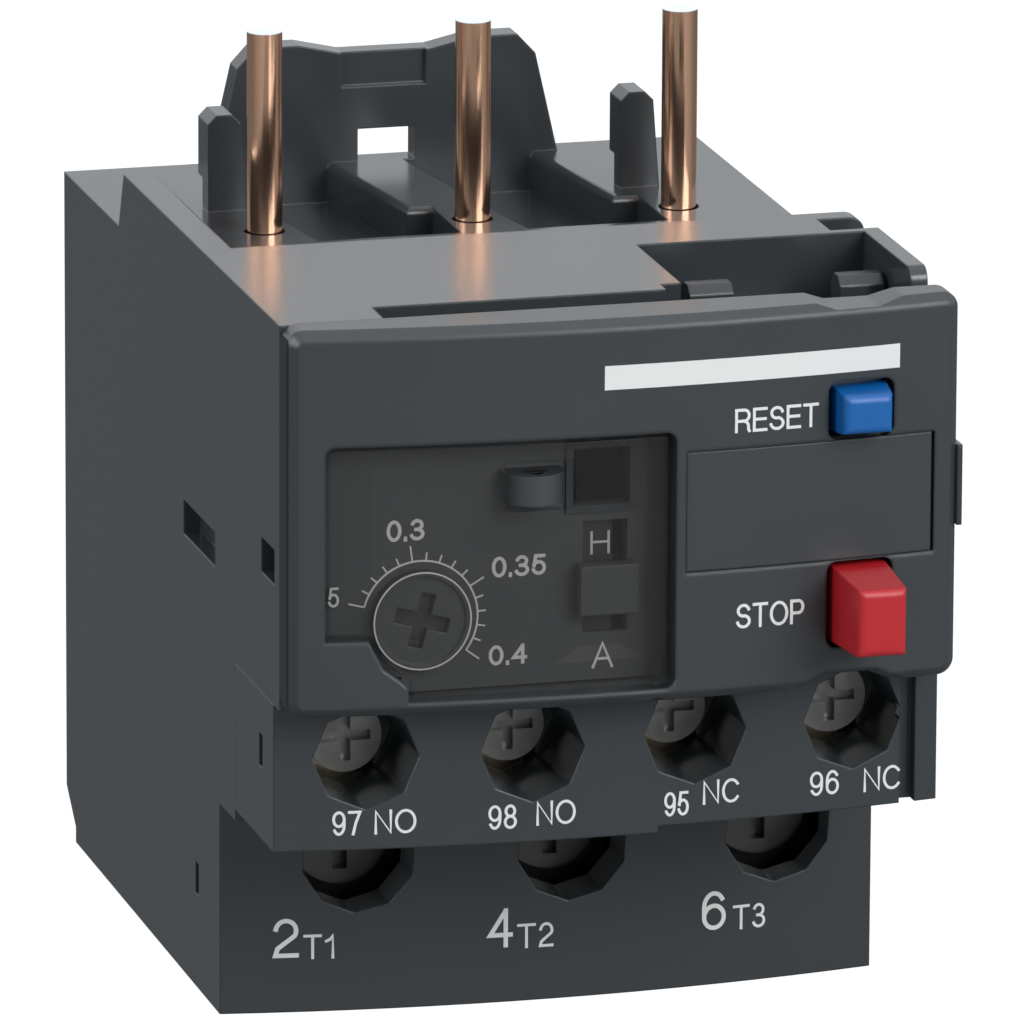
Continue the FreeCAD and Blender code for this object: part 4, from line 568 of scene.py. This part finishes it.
# Each glyph: its width against a capital's height, and its strokes' middle lines in a unit square.
GLYPHS = {
    "R": (0.72, [
        [(0, 0), (0, 1), (0.6, 1)] + curve((0.62, 0.74), (0.36, 0.26), 90, -90) + [(0, 0.48)],
        [(0.55, 0.48), (0.8, 0.42), (0.92, 0.3), (0.93, 0.08), (1, 0)],
    ]),
    "E": (0.66, [[(1, 1), (0, 1), (0, 0), (1, 0)], [(0, 0.52), (0.93, 0.52)]]),
    "S": (0.68, [curve((0.5, 0.75), (0.45, 0.25), 15, 262) + curve((0.5, 0.26), (0.5, 0.26), 78, -168)]),
    "T": (0.72, [[(0, 1), (1, 1)], [(0.5, 1), (0.5, 0)]]),
    "O": (0.9, [curve((0.5, 0.5), (0.5, 0.5), 90, 450, 28)]),
    "P": (0.66, [[(0, 0), (0, 1), (0.6, 1)] + curve((0.62, 0.72), (0.38, 0.28), 90, -90) + [(0, 0.44)]]),
    "H": (0.72, [[(0, 0), (0, 1)], [(1, 0), (1, 1)], [(0, 0.53), (1, 0.53)]]),
    "A": (0.82, [[(0, 0), (0.5, 1), (1, 0)], [(0.17, 0.35), (0.83, 0.35)]]),
    "N": (0.72, [[(0, 0), (0, 1), (1, 0), (1, 1)]]),
    "C": (0.82, [curve((0.5, 0.5), (0.5, 0.5), 38, 322, 24)]),
    "0": (0.54, [curve((0.5, 0.5), (0.5, 0.5), 90, 450, 28)]),
    "1": (0.3, [[(0, 0.74), (0.6, 0.82), (1, 1), (1, 0)]]),
    "2": (0.54, [curve((0.5, 0.71), (0.48, 0.29), 170, -30) + [(0.1, 0.2), (0, 0), (1, 0)]]),
    "3": (0.54, [
        curve((0.48, 0.76), (0.42, 0.24), 160, -90) + [(0.36, 0.52)],
        curve((0.48, 0.26), (0.5, 0.26), 90, -162),
    ]),
    "4": (0.56, [[(0.76, 0), (0.76, 1)], [(0.7, 0.95), (0, 0.3), (1, 0.3)]]),
    "5": (0.54, [[(0.92, 1), (0.2, 1), (0.07, 0.45)], curve((0.48, 0.33), (0.5, 0.33), 145, -160)]),
    "6": (0.54, SIX),
    "7": (0.54, [[(0, 1), (1, 1), (0.6, 0.5), (0.36, 0)]]),
    "8": (0.54, [
        curve((0.5, 0.76), (0.43, 0.24), 270, -90, 22),
        curve((0.5, 0.26), (0.5, 0.26), 90, 450, 22),
    ]),
    "9": (0.54, half_turn(SIX)),
    ".": (0.02, [[(0, -0.02), (0, 0.06)]]),
}
LETTER_SPACE = 0.27


def ribbon(points, width):
    """Pairs of points on both sides of a line, mitred at its corners and square at its free ends."""
    closed = math.dist(points[0], points[-1]) < SAME_POINT
    if not closed:
        start = Vector(points[0]) + (Vector(points[0]) - Vector(points[1])).normalized() * width / 2
        stop = Vector(points[-1]) + (Vector(points[-1]) - Vector(points[-2])).normalized() * width / 2
        points = [tuple(start)] + list(points[1:-1]) + [tuple(stop)]
    count = len(points)
    pairs = []
    for index, (x, z) in enumerate(points):
        before = points[index - 1] if index else points[-2] if closed else None
        after = points[index + 1] if index < count - 1 else points[1] if closed else None
        sides = []
        for first, second in ((before, (x, z)), ((x, z), after)):
            if first and second and math.dist(first, second) > SAME_POINT:
                length = math.dist(first, second)
                sides.append(((first[1] - second[1]) / length, (second[0] - first[0]) / length))
        across = sum(side[0] for side in sides) / len(sides)
        along = sum(side[1] for side in sides) / len(sides)
        reach = width / 2 / max(SHARPEST_MITRE, across ** 2 + along ** 2)
        pairs.append(((x + across * reach, z + along * reach), (x - across * reach, z - along * reach)))
    return pairs


def letters(name, words, x_limits, z_limits, face, body, material=PRINT_WHITE, weight=PLAIN_STROKE):
    """A line of print in plain strokes that fills its limits; weight is the stroke against the height."""
    width = weight * (z_limits[1] - z_limits[0])
    total = sum(GLYPHS[letter][0] for letter in words) + LETTER_SPACE * (len(words) - 1)
    scale = (x_limits[1] - x_limits[0] - width) / total
    tall = z_limits[1] - z_limits[0] - width
    left = x_limits[0] + width / 2
    low = z_limits[0] + width / 2
    lines = []
    for letter in words:
        wide, strokes = GLYPHS[letter]
        for stroke in strokes:
            placed = [(left + u * wide * scale, low + v * tall) for u, v in stroke]
            lines.append(ribbon(placed, width))
        left += (wide + LETTER_SPACE) * scale
    return band(name, lines, face, body, material)


def band(name, lines, face, body, material=PRINT_WHITE):
    """A thin printed film on a face; each line is a list of point pairs, one on either side of it."""
    mesh = bpy.data.meshes.new(name)
    edit = bmesh.new()
    for number, line in enumerate(lines):
        lift = FILM + number * STROKE_STEP
        rows = []
        for pair in line:
            for x, z in pair:
                for offset in (-lift, FILM / 2):
                    rows.append(edit.verts.new(Vector((x, face(x) + offset, z)) * MM))
        for index in range(len(line) - 1):
            first = rows[index * 4:index * 4 + 4]
            after = rows[index * 4 + 4:index * 4 + 8]
            for a, b in ((0, 1), (1, 3), (3, 2), (2, 0)):
                edit.faces.new((first[a], first[b], after[b], after[a]))
        edit.faces.new((rows[0], rows[2], rows[3], rows[1]))
        last = rows[-4:]
        edit.faces.new((last[0], last[1], last[3], last[2]))
    bmesh.ops.recalc_face_normals(edit, faces=edit.faces)
    edit.to_mesh(mesh)
    edit.free()
    return add_piece(name, mesh, material, body)


def make_cover_print():
    steps = 24
    low, high = 46.6, 48.2
    left, right = -1.95, 18.24
    line = []
    for index in range(steps + 1):
        x = left + (right - left) * index / steps
        line.append(((x, high), (x, low)))
    band("cover_stripe", [line], COVER_FACE, "relay")
    letters("reset_words", "RESET", (6.85, 12.6), (43.15, 44.75), COVER_FACE, "relay")
    letters("stop_words", "STOP", (7.05, 11.75), (30.0, 31.65), COVER_FACE, "relay")


TERMINAL_TYPE = 1.65
POLE_NUMBER_WIDTH = 1.7
POLE_NUMBER_Z = (3.8, 6.5)
PHASE_Z = (3.65, 5.35)


def make_terminal_print():
    marks = (
        ("97", (-18.7, -16.8), 16.4, "NO", (-15.95, -13.2), 16.4),
        ("98", (-8.45, -6.55), 16.35, "NO", (-5.25, -2.6), 16.45),
        ("95", (3.4, 5.1), 16.45, "NC", (6.05, 8.65), 17.05),
        ("96", (13.5, 15.55), 16.95, "NC", (17.3, 20.0), 16.85),
    )
    weight = TERMINAL_STROKE
    for number, number_x, number_low, kind, kind_x, kind_low in marks:
        number_z = (number_low, number_low + TERMINAL_TYPE)
        letters("mark_%s" % number, number, number_x, number_z, AUX_FACE, "relay", weight=weight)
        kind_z = (kind_low, kind_low + TERMINAL_TYPE)
        letters("kind_%s" % number, kind, kind_x, kind_z, AUX_FACE, "relay", weight=weight)
    poles = (
        ("2", "T1", -19.0, 2.0, 4.05),
        ("4", "T2", -4.6, 2.0, 4.5),
        ("6", "T3", 10.3, 2.2, 4.55),
    )
    for number, phase, left, start, stop in poles:
        number_x = (left, left + POLE_NUMBER_WIDTH)
        letters("pole_" + number, number, number_x, POLE_NUMBER_Z, POWER_FACE, "relay", weight=weight)
        phase_x = (left + start, left + stop)
        letters("phase_" + number, phase, phase_x, PHASE_Z, POWER_FACE, "relay", weight=weight)


DIAL = (-13.4, 31.3)


def polar(radius, degrees):
    angle = math.radians(degrees)
    return DIAL[0] + radius * math.cos(angle), DIAL[1] + radius * math.sin(angle)


def ring(radius, width, start, stop, steps):
    line = []
    for index in range(steps + 1):
        degrees = start + (stop - start) * index / steps
        line.append((polar(radius + width / 2, degrees), polar(radius - width / 2, degrees)))
    return line


def tick(inner, outer, degrees, width):
    half = math.degrees(width / 2 / ((inner + outer) / 2))
    tip = half * TICK_TAPER
    return [
        (polar(inner, degrees + half), polar(inner, degrees - half)),
        (polar(outer, degrees + tip), polar(outer, degrees - tip)),
    ]


SCALE_START = 165.0
SCALE_STOP = -36.8
SCALE_STEPS = 15
SCALE_RADIUS = 3.86
SCALE_LINE = 0.12
LONG_TICK_EVERY = 5
LONG_TICK = 4.95
SHORT_TICK = 4.42
TICK_TAPER = 0.8
DIAL_RING_RADIUS = 3.24
DIAL_RING_LINE = 0.1


def make_scale_print():
    lines = [ring(SCALE_RADIUS, SCALE_LINE, SCALE_START, SCALE_STOP, 60)]
    for index in range(SCALE_STEPS + 1):
        degrees = SCALE_START + (SCALE_STOP - SCALE_START) * index / SCALE_STEPS
        reach = SHORT_TICK if index % LONG_TICK_EVERY else LONG_TICK
        lines.append(tick(SCALE_RADIUS, reach, degrees, SCALE_LINE))
    band("dial_scale", lines, PLATE_FACE, "relay", PLATE_PRINT)
    dial_line = ring(DIAL_RING_RADIUS, DIAL_RING_LINE, 0, 360, 72)
    band("dial_ring", [dial_line], DIAL_FACE, "dial", PLATE_PRINT)
    letters("scale_low", "5", (-19.55, -18.8), (32.42, 33.75), PLATE_FACE, "relay", PLATE_PRINT)
    numbers = (
        ("scale_03", "0.3", (-15.65, -13.1), (36.55, 37.98)),
        ("scale_035", "0.35", (-8.6, -4.95), (33.7, 35.1)),
        ("scale_04", "0.4", (-8.78, -6.2), (27.8, 29.15)),
    )
    for name, number, x_limits, z_limits in numbers:
        letters(name, number, x_limits, z_limits, PLATE_FACE, "relay", PLATE_PRINT, BOLD_STROKE)
    letters("hand_mark", "H", (-1.85, -0.55), (34.7, 36.25), WELL_FACE, "relay", PLATE_PRINT, FINE_STROKE)
    letters("auto_mark", "A", (-1.85, -0.4), (27.15, 28.9), PLATE_FACE, "relay", PLATE_PRINT, FINE_STROKE)


def plate_between(name, near, far, material, body):
    """A closed plate between two outlines with equally many points, in millimetres."""
    mesh = bpy.data.meshes.new(name)
    edit = bmesh.new()
    first = [edit.verts.new(Vector(point) * MM) for point in near]
    second = [edit.verts.new(Vector(point) * MM) for point in far]
    edit.faces.new(first)
    edit.faces.new(second)
    for index in range(len(near)):
        edit.faces.new((first[index - 1], first[index], second[index], second[index - 1]))
    bmesh.ops.recalc_face_normals(edit, faces=edit.faces)
    edit.to_mesh(mesh)
    edit.free()
    return add_piece(name, mesh, material, body)


def sheet(name, corners, depth, thickness, material, body):
    """An upright plate, given by its corners across and up, with its face at the depth."""
    near = [(x, depth, z) for x, z in corners]
    far = [(x, depth + thickness, z) for x, z in corners]
    return plate_between(name, near, far, material, body)


STRIP_THICKNESS = 1.07
FAN_LIFT = 0.015
FAN_THICKNESS = 0.02
STAPLE_TOP = 41.0


def make_plate_details():
    """The plate's lower edge strip, the fan behind the A, and a dark disc at the mouth of the seal hole as
    painted shade.
    """
    corners = [(-14.65, 27.46), (-14.65, 26.4), (2.85, 26.4), (2.85, 27.46)]
    plastic = FINISHES["scale_plastic"]
    strip = sheet("plate_strip", corners, PLATE_FRONT, STRIP_THICKNESS, plastic, "relay")
    corners = [(-4.4, 27.6), (-2.7, 28.7), (0.0, 28.7), (1.6, 27.7)]
    sheet("auto_fan", corners, PLATE_FRONT - FAN_LIFT, FAN_THICKNESS, PALE_FAN, "relay")
    # Painted shade: a dark disc on the staple's top stands for the shade inside the seal hole.
    mouth = curve((-6.1, -28.35), (0.85, 0.4), 0, 345, 23)
    low = [(x, y, STAPLE_TOP) for x, y in mouth]
    high = [(x, y, STAPLE_TOP + FILM) for x, y in mouth]
    plate_between("seal_hole_painted_shade", low, high, HOLE_PAINTED_SHADE, "relay")


bpy.context.scene.view_settings.view_transform = "Standard"
make_camera()
make_studio()
finish_cad_nodes()
make_cover_print()
make_terminal_print()
make_scale_print()
make_plate_details()
